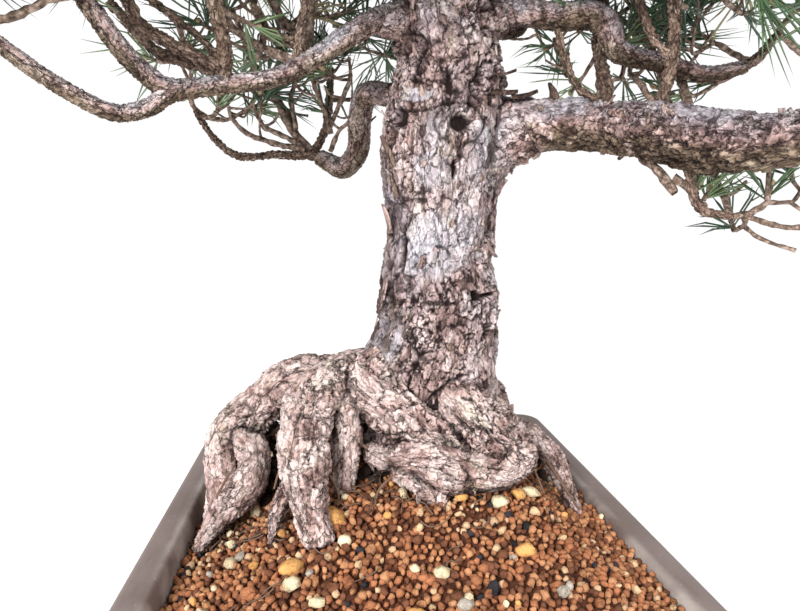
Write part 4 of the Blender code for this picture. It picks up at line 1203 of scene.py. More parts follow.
crown = Crown()
places_of = {}
for index, name in enumerate(crown.names):
    rng = random.Random(SEED + index)
    tips = [np.array(path[-1][:3], float) for path in masses[name][3]]
    free = free_places(crown, index, SPRAY_TRIALS, SPRAY_FILL, rng)
    chosen = farthest_first(tips, free, len(tips) + SPRAYS_PER_MASS + SPARE_SPRAYS)
    more = free_places(crown, index, MORE_TRIALS, MORE_FILL, rng)
    more = more[more[:, 2] > SHADE[0] + SHADE[1] * more[:, 1]]
    if len(more):
        chosen = farthest_first(chosen, more, SHOOTS_PER_MASS)
    places_of[name] = chosen + [np.array(place, float) for place in TUFTS.get(name, [])]
print("shoots:", sum(len(places) for places in places_of.values()))

# %% [markdown]
# Each shoot hangs on the nearest twig that has grown already, so the twigs fork and fork again
# from one stem. A twig leaves low, sags a little and turns up at its tip towards the light.

# %% Grow the twigs
TWIG_THICK = 1.75
TWIG_THIN = 1.05
SHOOT_LENGTH = (12.0, 22.0)
SHORTEST_TWIG = 4.0


def grow(name, rng):
    """Twigs as paths of x, y, z, radius, and shoots as start, direction and length."""
    twigs = []
    shoots = []
    grown = []
    for path in masses[name][3]:
        grown += [p for p in smooth_path(path, 4)[3:]]
    origin = np.array(masses[name][3][0][-1][:3], float)
    centre = np.array(masses[name][0])
    tips = len(masses[name][3])
    places = places_of[name]
    places = places[:tips] + sorted(places[tips:], key=lambda p: np.linalg.norm(p - origin))
    for number, place in enumerate(places):
        every = np.array(grown)
        reach = np.linalg.norm(every[:, :3] - place, axis=1) \
            + TWIG_LIFT * np.linalg.norm(every[:, :3] - origin, axis=1)
        root = every[int(np.argmin(reach))]
        way = place - (np.array(masses[name][3][number][-2][:3]) if number < tips else root[:3])
        length = np.linalg.norm(way)
        outward = unit(place - centre + np.array([0, 0, 30.0]))
        along = way / max(length, 1e-6) * 0.6 + outward * 0.5 + np.array([0, 0, 0.55])
        along = unit(along + jolt(rng, 0.3))
        if number >= tips and length > SHORTEST_TWIG:
            thick = min(TWIG_THICK, root[3] * 0.85)
            sag = np.array([rng.uniform(-0.09, 0.09), rng.uniform(-0.09, 0.09), -0.08]) * length
            bend = jolt(rng, 0.06) * length
            start = root[:3]
            path = [(*start, thick), (*(start + way * 0.34 + sag), thick * 0.92),
                    (*(start + way * 0.7 + sag * 0.8 + bend), thick * 0.84),
                    (*place, max(TWIG_THIN, thick * 0.75))]
            twigs.append(path)
            grown += [p for p in smooth_path(path, 4)[3:]]
        tuft = tuple(place) in TUFTS.get(name, [])
        sprout = tuft and tuple(place) not in FULL_TUFTS
        if tuft or place[2] > SHADE[0] + SHADE[1] * place[1]:
            shoots.append((place, along, rng.uniform(*SHOOT_LENGTH) * (0.5 if sprout else 1), sprout))
    return twigs, shoots


twigs = []
shoots = []
for index, name in enumerate(crown.names):
    more_twigs, more_shoots = grow(name, random.Random(SEED * 100 + index))
    twigs += more_twigs
    shoots += more_shoots
print("twigs:", len(twigs), "shoots with needles:", len(shoots))

# %% [markdown]
# Low in the crown, where light is poor, bare twigs fan out from the boughs. Each carries a few
# twiglets, and here and there a weak sprout with short needles.

# %% Bare twigs in the shade
BARE_TWIGS = [
    [(-47, 82, 269, 1.9), (-63, 83, 272, 1.8), (-80, 85, 278, 1.5), (-89, 87, 287, 1.2),
     (-91, 88, 294, 1.1)],
    [(-46, 83, 270, 1.7), (-62, 83, 278, 1.5), (-69, 82, 281, 1.4), (-74, 81, 288, 1.2), (-75, 80, 294, 1)],
    [(-52, 85, 277, 1.7), (-53, 86, 289, 1.5), (-55, 88, 298, 1.4), (-53, 90, 307, 1.2), (-55, 92, 315, 1)],
    [(-32, 82, 278, 1.9), (-35, 80, 290, 1.7), (-41, 77, 306, 1.4), (-42, 76, 316, 1.3),
     (-41, 74, 325, 1.1)],
    [(-32, 82, 268, 1.6), (-27, 78, 279, 1.4), (-21, 74, 284, 1.1), (-20, 70, 289, 0.9)],
    [(-32, 84, 283, 1.7), (-26, 78, 295, 1.5), (-22, 73, 302, 1.4), (-20, 68, 309, 1.2), (-21, 64, 317, 1)],
    [(-42, 83, 268, 2.4), (-55, 86, 281, 2.2), (-64, 88, 299, 2.0), (-76, 92, 319, 1.9), (-88, 96, 350, 1.6)],
    [(-46, -9, 297, 2.3), (-59, 0, 304, 2.1), (-69, 4, 310, 1.9), (-76, 8, 316, 1.7), (-79, 12, 324, 1.5)],
    [(-44, -6, 302, 3.0), (-42, 9, 310, 2.8), (-48, 14, 316, 2.6), (-54, 19, 324, 2.4), (-64, 24, 350, 2.2)],
    [(-43, 4, 307, 2.8), (-40, 7, 315, 2.6), (-40, 9, 322, 2.4), (-38, 12, 348, 2.2)],
    [(-44, 2, 306, 2.4), (-61, 14, 315, 2.1), (-65, 22, 324, 1.9), (-72, 32, 350, 1.6)],
    [(97, 24, 292, 1.3), (92, 31, 305, 1.1), (89, 32, 311, 1.0), (85, 34, 322, 0.8)],
    [(96, -6, 280, 2.5), (102, 12, 296, 2.3), (103, 18, 307, 2.1), (101, 20, 319, 2.0)],
    [(116, -34, 268, 2.2), (127, -6, 285, 2.0), (132, 17, 311, 1.8), (125, 15, 319, 1.7),
     (112, 10, 344, 1.6)],
    [(122, -40, 266, 2.6), (138, -4, 286, 2.4), (147, 22, 309, 2.2), (145, 28, 323, 2.2), (142, 30, 350, 2)],
    [(112, -34, 270, 1.8), (117, 2, 294, 1.6), (124, 26, 303, 1.4), (128, 34, 314, 1.2)],
]
HANGING_TWIGS = [
    [(103, -24, 264, 2.6), (106, -27, 257, 2.5), (108, -33, 252, 2.3), (110, -38, 247, 2.1),
     (113, -43, 240, 1.7)],
    [(113, -41, 246, 2.1), (117, -42, 244, 1.9), (121, -42, 241, 1.7), (123, -42, 236, 1.5),
     (130, -38, 235, 1.3)],
]
TWIGLETS = 5
TWIGLET_LENGTH = (8.0, 24.0)
SPROUT_SHARE = 0.30            # how many of the twiglets still carry a sprout
HANGING_SPROUTS = ((122, -42, 240), (128, -40, 237))
bare = random.Random(SEED + 7)
for path in BARE_TWIGS:
    twigs.append(path)
    line = smooth_path(path, 6)
    for _ in range(TWIGLETS):
        start = line[bare.randrange(len(line) // 3, len(line))]
        length = bare.uniform(*TWIGLET_LENGTH)
        way = np.array([bare.uniform(-1, 1), bare.uniform(-0.8, 0.8), bare.uniform(0.1, 1.1)])
        way *= length / np.linalg.norm(way)
        bend = np.array([bare.uniform(-0.15, 0.15), bare.uniform(-0.15, 0.15), -0.14]) * length
        tip = start[:3] + way
        thick = min(0.95, start[3] * 0.7)
        middle = start[:3] + way * 0.5 + bend
        twigs.append([(*start[:3], thick), (*middle, thick * 0.9), (*tip, thick * 0.7)])
        if bare.random() < SPROUT_SHARE:
            along = unit(way / length + np.array([0, 0, 0.3]))
            shoots.append((tip, along, bare.uniform(3, 7), True))
twigs += HANGING_TWIGS
for place in HANGING_SPROUTS:
    shoots.append((np.array(place, float), np.array([0.45, 0.0, 0.89]), 4.0, True))
print("with bare twigs:", len(twigs), "and sprouts:", sum(shoot[3] for shoot in shoots))

# %% [markdown]
# A twig is a five-sided tube. Its radius jumps from ring to ring, because each fallen needle
# left a stub. The shoot itself is the twig's last stretch, with a bud of pale scales on its tip.

# %% Twigs and buds as one mesh of arrays
TUBE_SIDES = 5
RING_EVERY = 2.4
STEM_RADIUS = 1.15             # of a shoot where it starts, and of its bud
BUD = [(0.0, 1.0), (0.25, 1.5), (0.5, 1.35), (0.8, 0.8), (1.0, 0.15)]     # share of length, of radius
TINY = 1e-9                    # keeps a division by a length of nothing safe


def axes_across(directions):
    """Two directions across each of many directions."""
    side = np.cross(directions, [0.31, 0.17, 0.93])
    side /= np.linalg.norm(side, axis=1)[:, None] + TINY
    return side, np.cross(directions, side)


def rings(directions, sides):
    """Points of a unit circle across each direction."""
    side, over = axes_across(directions)
    angle = np.arange(sides) / sides * 2 * np.pi
    return np.cos(angle)[None, :, None] * side[:, None] + np.sin(angle)[None, :, None] * over[:, None]


def tube(path, rng, rough, every=RING_EVERY, sides=TUBE_SIDES):
    """Corners and quads of a tube along a path, its radius rough from ring to ring."""
    length = lengths_along(path)
    count = max(3, int(length[-1] / every) + 1)
    line = points_at(path, length, np.linspace(0, length[-1], count))
    tangent = np.gradient(line[:, :3], axis=0)
    tangent /= np.linalg.norm(tangent, axis=1)[:, None] + TINY
    swell = 1 + rough * rng.uniform(-1, 1, (count, sides))
    corners = line[:, None, :3] + rings(tangent, sides) * (line[:, 3, None] * swell)[..., None]
    index = np.arange(count * sides).reshape(count, sides)
    after = np.roll(index, -1, axis=1)
    quads = np.stack([index[:-1], after[:-1], after[1:], index[1:]], axis=-1).reshape(-1, 4)
    return corners.reshape(-1, 3), quads


draw = np.random.default_rng(SEED)
twig_parts = [tube(smooth_path(path, 4), draw, 0.26) for path in twigs]
for place, along, length, _ in shoots:
    tip = place + along * length
    stem = np.array([(*place, STEM_RADIUS), (*(place + along * length * 0.5), 1.05), (*tip, 1.0)])
    twig_parts.append(tube(stem, draw, 0.3))
twig_finish = Nodes("twig_bark", roughness=0.85, Specular_IOR_Level=0.25)
grain = twig_finish.noise(twig_finish.coordinates(), 420.0, 4.0, 0.6)
twig_finish.colour(twig_finish.ramp(grain, [(0.34, linear(58, 46, 40)), (0.5, linear(114, 95, 83)),
                                            (0.64, linear(164, 144, 131))]))
twig_finish.bump(grain, 0.6, 0.0005)
place_parts("twigs", twig_parts, twig_finish.material, "young_bark", *foliage_nodes)
bud_parts = []
for place, along, length, sprout in shoots:
    tip = place + along * length
    size = draw.uniform(4.0, 7.0) * (0.7 if sprout else 1)
    bud = np.array([(*(tip + along * size * share), STEM_RADIUS * wide) for share, wide in BUD])
    bud_parts.append(tube(bud, draw, 0.12, 1.3, 6))
place_parts("buds", bud_parts, plain_finish("bud_scales", (176, 150, 120), 0.8), "young_bark",
            *foliage_nodes)

# %% [markdown]
# ## Needles
# A black pine carries its needles in pairs, all round the young shoot and pointing forward. A
# needle is a slim three-sided spike with one bend. Greens are dealt out shoot by shoot.

# %% Needles in pairs
PAIRS = 23
NEEDLE = (34.0, 44.0)
SPROUT_PAIRS = 9
SPROUT_NEEDLE = (16.0, 30.0)
NEEDLE_RADIUS = 0.52
NEEDLE_REACH = 6.0             # how far a needle's end may pass the solids' box
GREENS = {
    "needles_deep": ((58, 82, 60), 0.30), "needles_green": ((82, 107, 74), 0.34),
    "needles_light": ((112, 133, 94), 0.26), "needles_old": ((142, 134, 96), 0.10),
}


def needles(roots, directions, lengths, bends, radius):
    """Corners and triangles of three-sided needles with one bend."""
    middle = roots + directions * (lengths * 0.55)[:, None] - bends * 0.45
    tips = roots + directions * lengths[:, None] + bends
    ring = rings(directions, 3)
    corners = np.concatenate([roots[:, None] + ring * radius * 0.75, middle[:, None] + ring * radius,
                              tips[:, None]], axis=1)
    pattern = []
    for k in range(3):
        n = (k + 1) % 3
        pattern += [(k, n, 3 + n), (k, 3 + n, 3 + k), (3 + k, 3 + n, 6)]
    faces = np.arange(len(roots))[:, None, None] * 7 + np.array(pattern)[None]
    return corners.reshape(-1, 3), faces.reshape(-1, 3)


def needles_of(place, along, length, draw, pairs, size):
    """Roots, directions, lengths and bends of the needles of one shoot."""
    share = draw.uniform(0.15, 1.0, pairs)
    turn = np.arange(pairs) * GOLDEN_TURN + draw.uniform(0, 6.28)
    lean = np.radians(66 - 40 * share + draw.uniform(-9, 9, pairs))
    side, over = [axis[0] for axis in axes_across(along[None])]
    out = np.cos(turn)[:, None] * side + np.sin(turn)[:, None] * over
    way = out * np.sin(lean)[:, None] + along * np.cos(lean)[:, None]
    way[:, 2] += 0.12
    way = np.repeat(way, 2, axis=0) + draw.uniform(-1, 1, (pairs * 2, 3)) * 0.14
    way /= np.linalg.norm(way, axis=1)[:, None]
    roots = np.repeat(place + along * (share * length)[:, None] + out * 0.9, 2, axis=0)
    lengths = np.repeat(draw.uniform(*size, pairs), 2) * draw.uniform(0.94, 1.0, pairs * 2)
    bends = draw.uniform(-1, 1, (pairs * 2, 3)) * 2.6
    bends[:, 2] -= 1.0
    return roots, way, lengths, bends


box_low = np.array(cad_box[0]) / MM - NEEDLE_REACH
box_high = np.array(cad_box[1]) / MM + NEEDLE_REACH
dealt = {name: [] for name in GREENS}
names = list(GREENS)
odds = [GREENS[name][1] for name in names]
for place, along, length, sprout in shoots:
    green = names[int(draw.choice(len(names), p=odds))]
    pairs, size = (SPROUT_PAIRS, SPROUT_NEEDLE) if sprout else (PAIRS, NEEDLE)
    roots, ways, lengths, bends = needles_of(place, along, length, draw, pairs, size)
    ends = roots + ways * lengths[:, None] + bends
    inside = np.all((ends > box_low) & (ends < box_high), axis=1)
    dealt[green].append((roots[inside], ways[inside], lengths[inside], bends[inside]))
for name, (green, _) in GREENS.items():
    parts = [np.concatenate([spray[k] for spray in dealt[name]]) for k in range(4)]
    place_parts(name, [needles(*parts, NEEDLE_RADIUS)], plain_finish(name, green, 0.45), "foliage",
                *foliage_nodes)

# %% [markdown]
# ## The pot
# An unglazed tray, pressed in a mould: the walls lean out, a band runs below the lip, four feet
# let it drain. Rounded rings are skinned one above the other, as a potter's template sweeps.

# %% The pot
POT_WIDTH, POT_DEPTH, POT_HEIGHT = 240.0, 300.0, 80.0
CORNER_RADIUS = 15.0
CORNER_STEPS = 10
SIDE_STEPS = 12
FOOT_HEIGHT, FLOOR_THICKNESS = 8.0, 8.0
LIP_WIDTH, LIP_DEPTH = 14.0, 11.0
WALL_TAPER, INNER_TAPER = 14.0, 8.0
FOOT_SIZE, FOOT_INSET = (44.0, 30.0), 22.0
FOOT_BEVEL = 1.6
QUARTERS = ((1, 1), (-1, 1), (-1, -1), (1, -1))


def pot_ring(inset):
    """Points round the pot's plan, moved inwards."""
    corner = max(CORNER_RADIUS - inset * 0.45, 3.0)
    half_x, half_y = POT_WIDTH / 2 - inset - corner, POT_DEPTH / 2 - inset - corner

    def on_corner(quarter, turns):
        sign_x, sign_y = QUARTERS[quarter % 4]
        angle = math.pi / 2 * turns
        return sign_x * half_x + corner * math.cos(angle), sign_y * half_y + corner * math.sin(angle)

    points = []
    for number in range(4):
        for step in range(CORNER_STEPS + 1):
            points.append(on_corner(number, number + step / CORNER_STEPS))
        here, there = points[-1], on_corner(number + 1, number + 1)
        for step in range(1, SIDE_STEPS):
            share = step / SIDE_STEPS
            points.append(tuple(a + (b - a) * share for a, b in zip(here, there)))
    return points


def wall_inset(height):
    """How far the inner wall stands in at a height."""
    top, bottom = POT_HEIGHT - 1.0, FOOT_HEIGHT + FLOOR_THICKNESS
    return LIP_WIDTH + 1.0 + (top - height) / (top - bottom) * INNER_TAPER


profile = [
    (WALL_TAPER + 1.5, FOOT_HEIGHT), (WALL_TAPER + 0.4, FOOT_HEIGHT + 0.5),
    (WALL_TAPER - 0.2, FOOT_HEIGHT + 1.6), (WALL_TAPER - 3.5, 26.0), (7.4, 45.0),
    (4.6, POT_HEIGHT - LIP_DEPTH - 2.6), (4.2, POT_HEIGHT - LIP_DEPTH - 1.6),
    (2.8, POT_HEIGHT - LIP_DEPTH - 0.6), (1.2, POT_HEIGHT - LIP_DEPTH),
    (0.4, POT_HEIGHT - LIP_DEPTH + 1.0), (0.1, POT_HEIGHT - 4.5), (0.2, POT_HEIGHT - 2.6),
    (0.8, POT_HEIGHT - 1.0), (2.0, POT_HEIGHT - 0.2), (3.4, POT_HEIGHT),
    (LIP_WIDTH - 1.6, POT_HEIGHT - 0.1), (LIP_WIDTH - 0.5, POT_HEIGHT - 0.6),
    (LIP_WIDTH + 0.3, POT_HEIGHT - 1.8), (wall_inset(60), 60.0), (wall_inset(30), 30.0),
    (wall_inset(16), FOOT_HEIGHT + FLOOR_THICKNESS),
]
shape = bmesh.new()
loops = []
for inset, height in profile:
    loops.append([shape.verts.new((x * MM, y * MM, height * MM)) for x, y in pot_ring(inset)])
for lower, upper in zip(loops, loops[1:]):
    for here in range(len(lower)):
        after = (here + 1) % len(lower)
        shape.faces.new((lower[here], lower[after], upper[after], upper[here]))
shape.faces.new(reversed(loops[0]))
shape.faces.new(loops[-1])
for side_x, side_y in ((-1, -1), (-1, 1), (1, -1), (1, 1)):
    foot = bmesh.ops.create_cube(shape, size=MM)["verts"]
    bmesh.ops.scale(shape, verts=foot, vec=(*FOOT_SIZE, FOOT_HEIGHT + 1))
    place = (side_x * (POT_WIDTH / 2 - FOOT_INSET - FOOT_SIZE[0] / 2),
             side_y * (POT_DEPTH / 2 - FOOT_INSET - FOOT_SIZE[1] / 2), (FOOT_HEIGHT + 1) / 2)
    bmesh.ops.translate(shape, verts=foot, vec=Vector(place) * MM)
    upright = [e for e in shape.edges if e.verts[0] in foot and e.verts[1] in foot
               and (abs(e.verts[0].co.z - e.verts[1].co.z) > MM or e.verts[0].co.z < MM)]
    bmesh.ops.bevel(shape, geom=upright, offset=FOOT_BEVEL * MM, segments=2, affect="EDGES",
                    profile=0.5, material=-1)
pot_mesh = mesh_of_shape("pot_body", shape)
pot_mesh.shade_smooth()
pot_mesh.set_sharp_from_angle(angle=math.radians(40))
print("pot rings:", len(profile))

# %% [markdown]
# Years of watering leave marks on the clay: faint streaks down the walls, pale specks, and lime
# along the inner edge of the lip.

# %% Clay of the pot
clay = Nodes("clay", roughness=0.62, Specular_IOR_Level=0.4)
where = clay.coordinates()
mottle = clay.noise(where, 14.0, 5.0, 0.6)
fine = clay.noise(where, 900.0, 3.0, 0.6)
streak = clay.noise(clay.coordinates(None, (1, 0.2, 1)), 240.0, 4.0, 0.6)
base = clay.ramp(mottle, [(0.30, linear(98, 83, 75)), (0.50, linear(110, 96, 92)),
                          (0.68, linear(123, 109, 104))])
base = clay.mix(clay.ramp(streak, [(0.30, 0.3), (0.45, 0)]), base, linear(82, 70, 64))
base = clay.mix(clay.ramp(fine, [(0.66, 0), (0.74, 0.6)]), base, linear(196, 184, 172))
# Lime: how near a place is to the lip's inner edge, then in patches.
axes = clay.add("ShaderNodeSeparateXYZ")
clay.join(where, axes.inputs[0])
shares = [clay.math("DIVIDE", clay.math("ABSOLUTE", axis), (size / 2 - LIP_WIDTH) * MM)
          for axis, size in zip(axes.outputs, (POT_WIDTH, POT_DEPTH))]
edge = clay.math("ADD", clay.math("MAXIMUM", *shares),
                 clay.math("MULTIPLY", clay.noise(where, 60.0, 4.0, 0.7), 0.06))
near_edge = clay.math("MULTIPLY", clay.math("SUBTRACT", 1.075, edge), 14.0, True)
above = clay.math("GREATER_THAN", axes.outputs[2], (POT_HEIGHT - 12) * MM)
patches = clay.ramp(clay.noise(where, 30.0, 3.0, 0.6), [(0.42, 0), (0.6, 0.8)])
lime = clay.math("MULTIPLY", clay.math("MULTIPLY", near_edge, above), patches)
clay.colour(clay.mix(lime, base, linear(196, 188, 180)))
clay.bump(clay.math("ADD", fine, streak), 0.25, 0.0004)
place_piece(pot_mesh, "pot_body", clay.material, "clay", "pot")

# %% [markdown]
# ## Soil
# The tree stands in fired-clay granules, sieved to one size, with a few river stones, bits of
# charcoal and dead rootlets. Every grain is a small rock, dropped on the soil's own surface.

# %% Rocks to choose from, and the soil's edges
def rock(draw, corners, rough=0.16):
    """A rock's corners and triangles: the hull of points spread over a lumpy ball."""
    turn = np.arange(corners) * GOLDEN_TURN
    rise = 1 - 2 * (np.arange(corners) + 0.5) / corners
    flat = np.sqrt(1 - rise ** 2)
    points = np.stack([flat * np.cos(turn), flat * np.sin(turn), rise], axis=1)
    points += draw.uniform(-rough, rough, points.shape)
    points /= np.linalg.norm(points, axis=1)[:, None]
    shape = bmesh.new()
    for point in points:
        shape.verts.new(point)
    bmesh.ops.convex_hull(shape, input=shape.verts)
    bmesh.ops.triangulate(shape, faces=shape.faces)
    bmesh.ops.recalc_face_normals(shape, faces=shape.faces)
    shape.verts.index_update()
    faces = np.array([[v.index for v in f.verts] for f in shape.faces])
    shape.free()
    points *= draw.uniform(0.82, 1.15, (corners, 1))
    return points * draw.uniform(0.68, 1.18, 3), faces


def turned(points, draw):
    """Points turned a random way."""
    w, x, y, z = draw.normal(size=4)
    size = w * w + x * x + y * y + z * z
    matrix = np.array([[w * w + x * x - y * y - z * z, 2 * (x * y - z * w), 2 * (x * z + y * w)],
                       [2 * (x * y + z * w), w * w - x * x + y * y - z * z, 2 * (y * z - x * w)],
                       [2 * (x * z - y * w), 2 * (y * z + x * w), w * w - x * x - y * y + z * z]])
    return points @ (matrix / size).T


grain_rocks = [rock(draw, 12, 0.34) for _ in range(20)]
under_rocks = [rock(draw, 10) for _ in range(6)]
half_x = POT_WIDTH / 2 - LIP_WIDTH - 1.5
half_y = POT_DEPTH / 2 - LIP_WIDTH - 1.5
print("rocks:", len(grain_rocks) + len(under_rocks))

# %% [markdown]
# Two layers of grains are laid on a jittered honeycomb, and plain earth will lie close below them,
# so no gap opens into the pot. Near the old roots lies washed-in dust and fine grit, so grains
# there are paler and smaller.

# %% Two layers of grains
GRAIN_SPACING = 3.3
GRAIN = (1.40, 2.40)
GRAIN_DEPTH = 1.2              # middles of the two layers of grains below the surface
UNDER_DEPTH = 3.4
HONEYCOMB_ROW = 0.866          # between two rows of a honeycomb, in spacings
JITTER = 0.17                  # how far a grain lies from its place, in spacings
GRAIN_KINDS = {                # colour and share
    "grains_dark": ((106, 68, 49), 0.25), "grains_red": ((148, 97, 67), 0.39),
    "grains_light": ((166, 118, 84), 0.27), "grains_pale": ((188, 156, 122), 0.045),
    "charcoal": ((46, 44, 48), 0.018),
}
GRIT_PLACES = [((-88, -8), 26), ((-62, -36), 16), ((30, -36), 18), ((60, -22), 16), ((96, 20), 14)]
GRIT_SHARES = np.array([0, 0, 0.1, 0.5, 0.12])      # what grit adds to each kind's share


def grit_share(x, y):
    """How much of the soil here is pale grit."""
    return max(0.0, max(1 - math.hypot(x - p[0], y - p[1]) / reach for p, reach in GRIT_PLACES))


def honeycomb(spacing, draw):
    """Jittered places on a honeycomb over the soil."""
    rows = int(2 * half_y / (spacing * HONEYCOMB_ROW)) + 1
    for row in range(rows):
        y = -half_y + row * spacing * HONEYCOMB_ROW
        for column in range(int(2 * half_x / spacing) + 2):
            x = -half_x + (column + 0.5 * (row % 2)) * spacing
            x += draw.normal(0, spacing * JITTER)
            y_here = y + draw.normal(0, spacing * JITTER)
            if abs(x) < half_x and abs(y_here) < half_y:
                yield x, y_here


kinds = list(GRAIN_KINDS)
shares = np.array([share for _, share in GRAIN_KINDS.values()])
grain_parts = {kind: [] for kind in kinds}
under_parts = []
for layer, choice, sink in ((0, grain_rocks, GRAIN_DEPTH), (1, under_rocks, UNDER_DEPTH)):
    for x, y in honeycomb(GRAIN_SPACING * (1.0 + 0.12 * layer), draw):
        height = soil_height(x, y)
        if height is None:
            continue
        grit = grit_share(x, y)
        odds = shares + GRIT_SHARES * grit
        kind = kinds[int(draw.choice(len(kinds), p=odds / odds.sum()))]
        corners, faces = choice[int(draw.integers(len(choice)))]
        size = draw.uniform(*GRAIN) * (1 - 0.35 * grit) * (1 + 0.45 * (draw.random() < 0.05))
        place = np.array([x, y, height + draw.normal(0, 0.45) - sink])
        parts = under_parts if layer else grain_parts[kind]
        parts.append((turned(corners, draw) * size + place, faces))
print("grains above:", sum(len(parts) for parts in grain_parts.values()), "below:", len(under_parts))

# %% [markdown]
# Fired clay is dusty: a fine noise darkens and pales each grain. The earth below is the solid
# soil itself with its top let down.

# %% Finish of the grains, and the earth below
EARTH_DEPTH = 3.2
EARTH_TOP = 40.0               # corners of the soil's solid above this height are its top


def place_grains(name, parts, colour):
    """Join grains into one piece with the dusty finish of fired clay."""
    kit = Nodes(name, roughness=0.95, Specular_IOR_Level=0.15)
    where = kit.coordinates()
    patchy = kit.noise(where, 150.0, 3.0, 0.6)
    dusty = kit.noise(where, 1300.0, 3.0, 0.65)
    tone = kit.math("ADD", kit.math("MULTIPLY", patchy, 0.6), kit.math("MULTIPLY", dusty, 0.4))
    red, green, blue = colour
    kit.colour(kit.ramp(tone, [(0.36, linear(red * 0.66, green * 0.60, blue * 0.56)),
                               (0.50, linear(red, green, blue)),
                               (0.62, linear(red * 1.16, green * 1.16, blue * 1.18))]))
    kit.bump(dusty, 0.8, 0.0006)
    place_parts(name, parts, kit.material, "soil", "soil", smooth=False)


for kind, parts in grain_parts.items():
    place_grains(kind, parts, GRAIN_KINDS[kind][0])
# The lower layer of grains is darker: painted shade.
place_grains("grains_under_shaded", under_parts, (98, 57, 38))
earth_shape = bmesh.new()
earth_shape.from_mesh(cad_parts["soil"].data)
bmesh.ops.remove_doubles(earth_shape, verts=earth_shape.verts, dist=1e-6)
bmesh.ops.recalc_face_normals(earth_shape, faces=earth_shape.faces)
for corner in earth_shape.verts:
    if corner.co.z > EARTH_TOP * MM:
        corner.co.z -= EARTH_DEPTH * MM
# The earth's dark brown is painted shade in the gaps between the grains.
place_piece(mesh_of_shape("earth", earth_shape), "earth", plain_finish("earth", (76, 40, 22), 1.0),
            "soil", "soil")

# %% [markdown]
# River stones lie among the grains: cream, ochre and grey. The larger ones have places of their
# own; the small ones are strewn.

# %% Stones
STONES = [                     # x, y, size, how tall, colour
    (-34, -37, 6.8, 0.62, "ochre"), (-28, -50, 4.2, 0.7, "cream"), (-50, -58, 5.6, 0.6, "ochre"),
    (-49, -66, 4.8, 0.8, "cream"), (0, -22, 2.6, 0.8, "cream"), (43, -34, 4.4, 0.7, "cream"),
    (48, -60, 4.6, 0.7, "ochre"), (-1, -84, 4.0, 0.7, "ochre"), (-22, -85, 3.4, 0.8, "cream"),
    (-84, -66, 3.6, 0.8, "cream"), (-64, -78, 2.8, 0.8, "grey"), (-39, -76, 4.2, 0.6, "cream"),
    (11, -68, 3.4, 0.7, "cream"), (18, -82, 3.6, 0.7, "grey"), (-72, 6, 3.6, 1.2, "cream"),
    (57, -80, 3.2, 0.8, "grey"), (26, -31, 3.0, 0.7, "ochre"), (55, -26, 4.4, 0.7, "ochre"),
    (62, -20, 4.6, 0.7, "cream"), (-78, -35, 3.0, 0.8, "cream"), (-66, -48, 2.8, 0.8, "ochre"),
]
STONE_COLOURS = {"cream": (200, 184, 152), "ochre": (190, 142, 86), "grey": (160, 152, 140)}
SMALL_STONES = 90
SMALL_SHARES = (0.4, 0.38, 0.22)
stone_parts = {name: [] for name in STONE_COLOURS}
stones = [rock(draw, 26, 0.24) for _ in range(6)]
for x, y, size, tall, colour in STONES:
    corners, faces = stones[int(draw.integers(len(stones)))]
    place = np.array([x, y, soil_height(x, y) + size * 0.15])
    squashed = turned(corners, draw) * np.array([1.0, 0.85, tall])
    stone_parts[colour].append((squashed * size + place, faces))
small = [rock(draw, 18, 0.2) for _ in range(6)]
for _ in range(SMALL_STONES):
    x, y = draw.uniform(-half_x, half_x), draw.uniform(-half_y, half_y)
    corners, faces = small[int(draw.integers(len(small)))]
    size = draw.uniform(1.3, 3.0)
    colour = list(STONE_COLOURS)[int(draw.choice(3, p=SMALL_SHARES))]
    height = soil_height(x, y)
    if height is None:
        continue
    place = np.array([x, y, height + size * 0.4])
    stone_parts[colour].append((turned(corners, draw) * size + place, faces))
for colour, parts in stone_parts.items():
    place_grains("stones_" + colour, parts, STONE_COLOURS[colour])

# %% [markdown]
# Under the arch of the roots, dark crumbs of soil fill the hollows as painted shade.

# %% Dark crumbs of painted shade under the roots
SHADE_FILL = [                      # middle, half sizes and crumbs
    ((-30, 34, 94), (52, 22, 36), 380), ((-64, 44, 92), (18, 14, 32), 130),
    ((-62, 22, 84), (14, 14, 20), 70), ((6, 6, 96), (26, 16, 18), 120),
    ((-12, -4, 90), (14, 10, 16), 70), ((70, 26, 88), (14, 16, 18), 60),
]
crumbs = [rock(draw, 14, 0.24) for _ in range(6)]
humus_parts = []
for middle, half_sizes, count in SHADE_FILL:
    for _ in range(count):
        way = draw.normal(size=3)
        way *= draw.uniform(0.82, 1.0) / np.linalg.norm(way)
        place = np.array(middle) + way * np.array(half_sizes)
        if place[2] > soil_height(place[0], place[1]) - 2:
            corners, faces = crumbs[int(draw.integers(len(crumbs)))]
            humus_parts.append((turned(corners, draw) * draw.uniform(2.0, 4.4) + place, faces))
place_grains("humus", humus_parts, (50, 40, 34))
print("crumbs of humus:", len(humus_parts))

# %% [markdown]
# Dead rootlets and old needles lie on the soil round the roots and hang in the hollows below
# them. Each is a thread with a few bends.

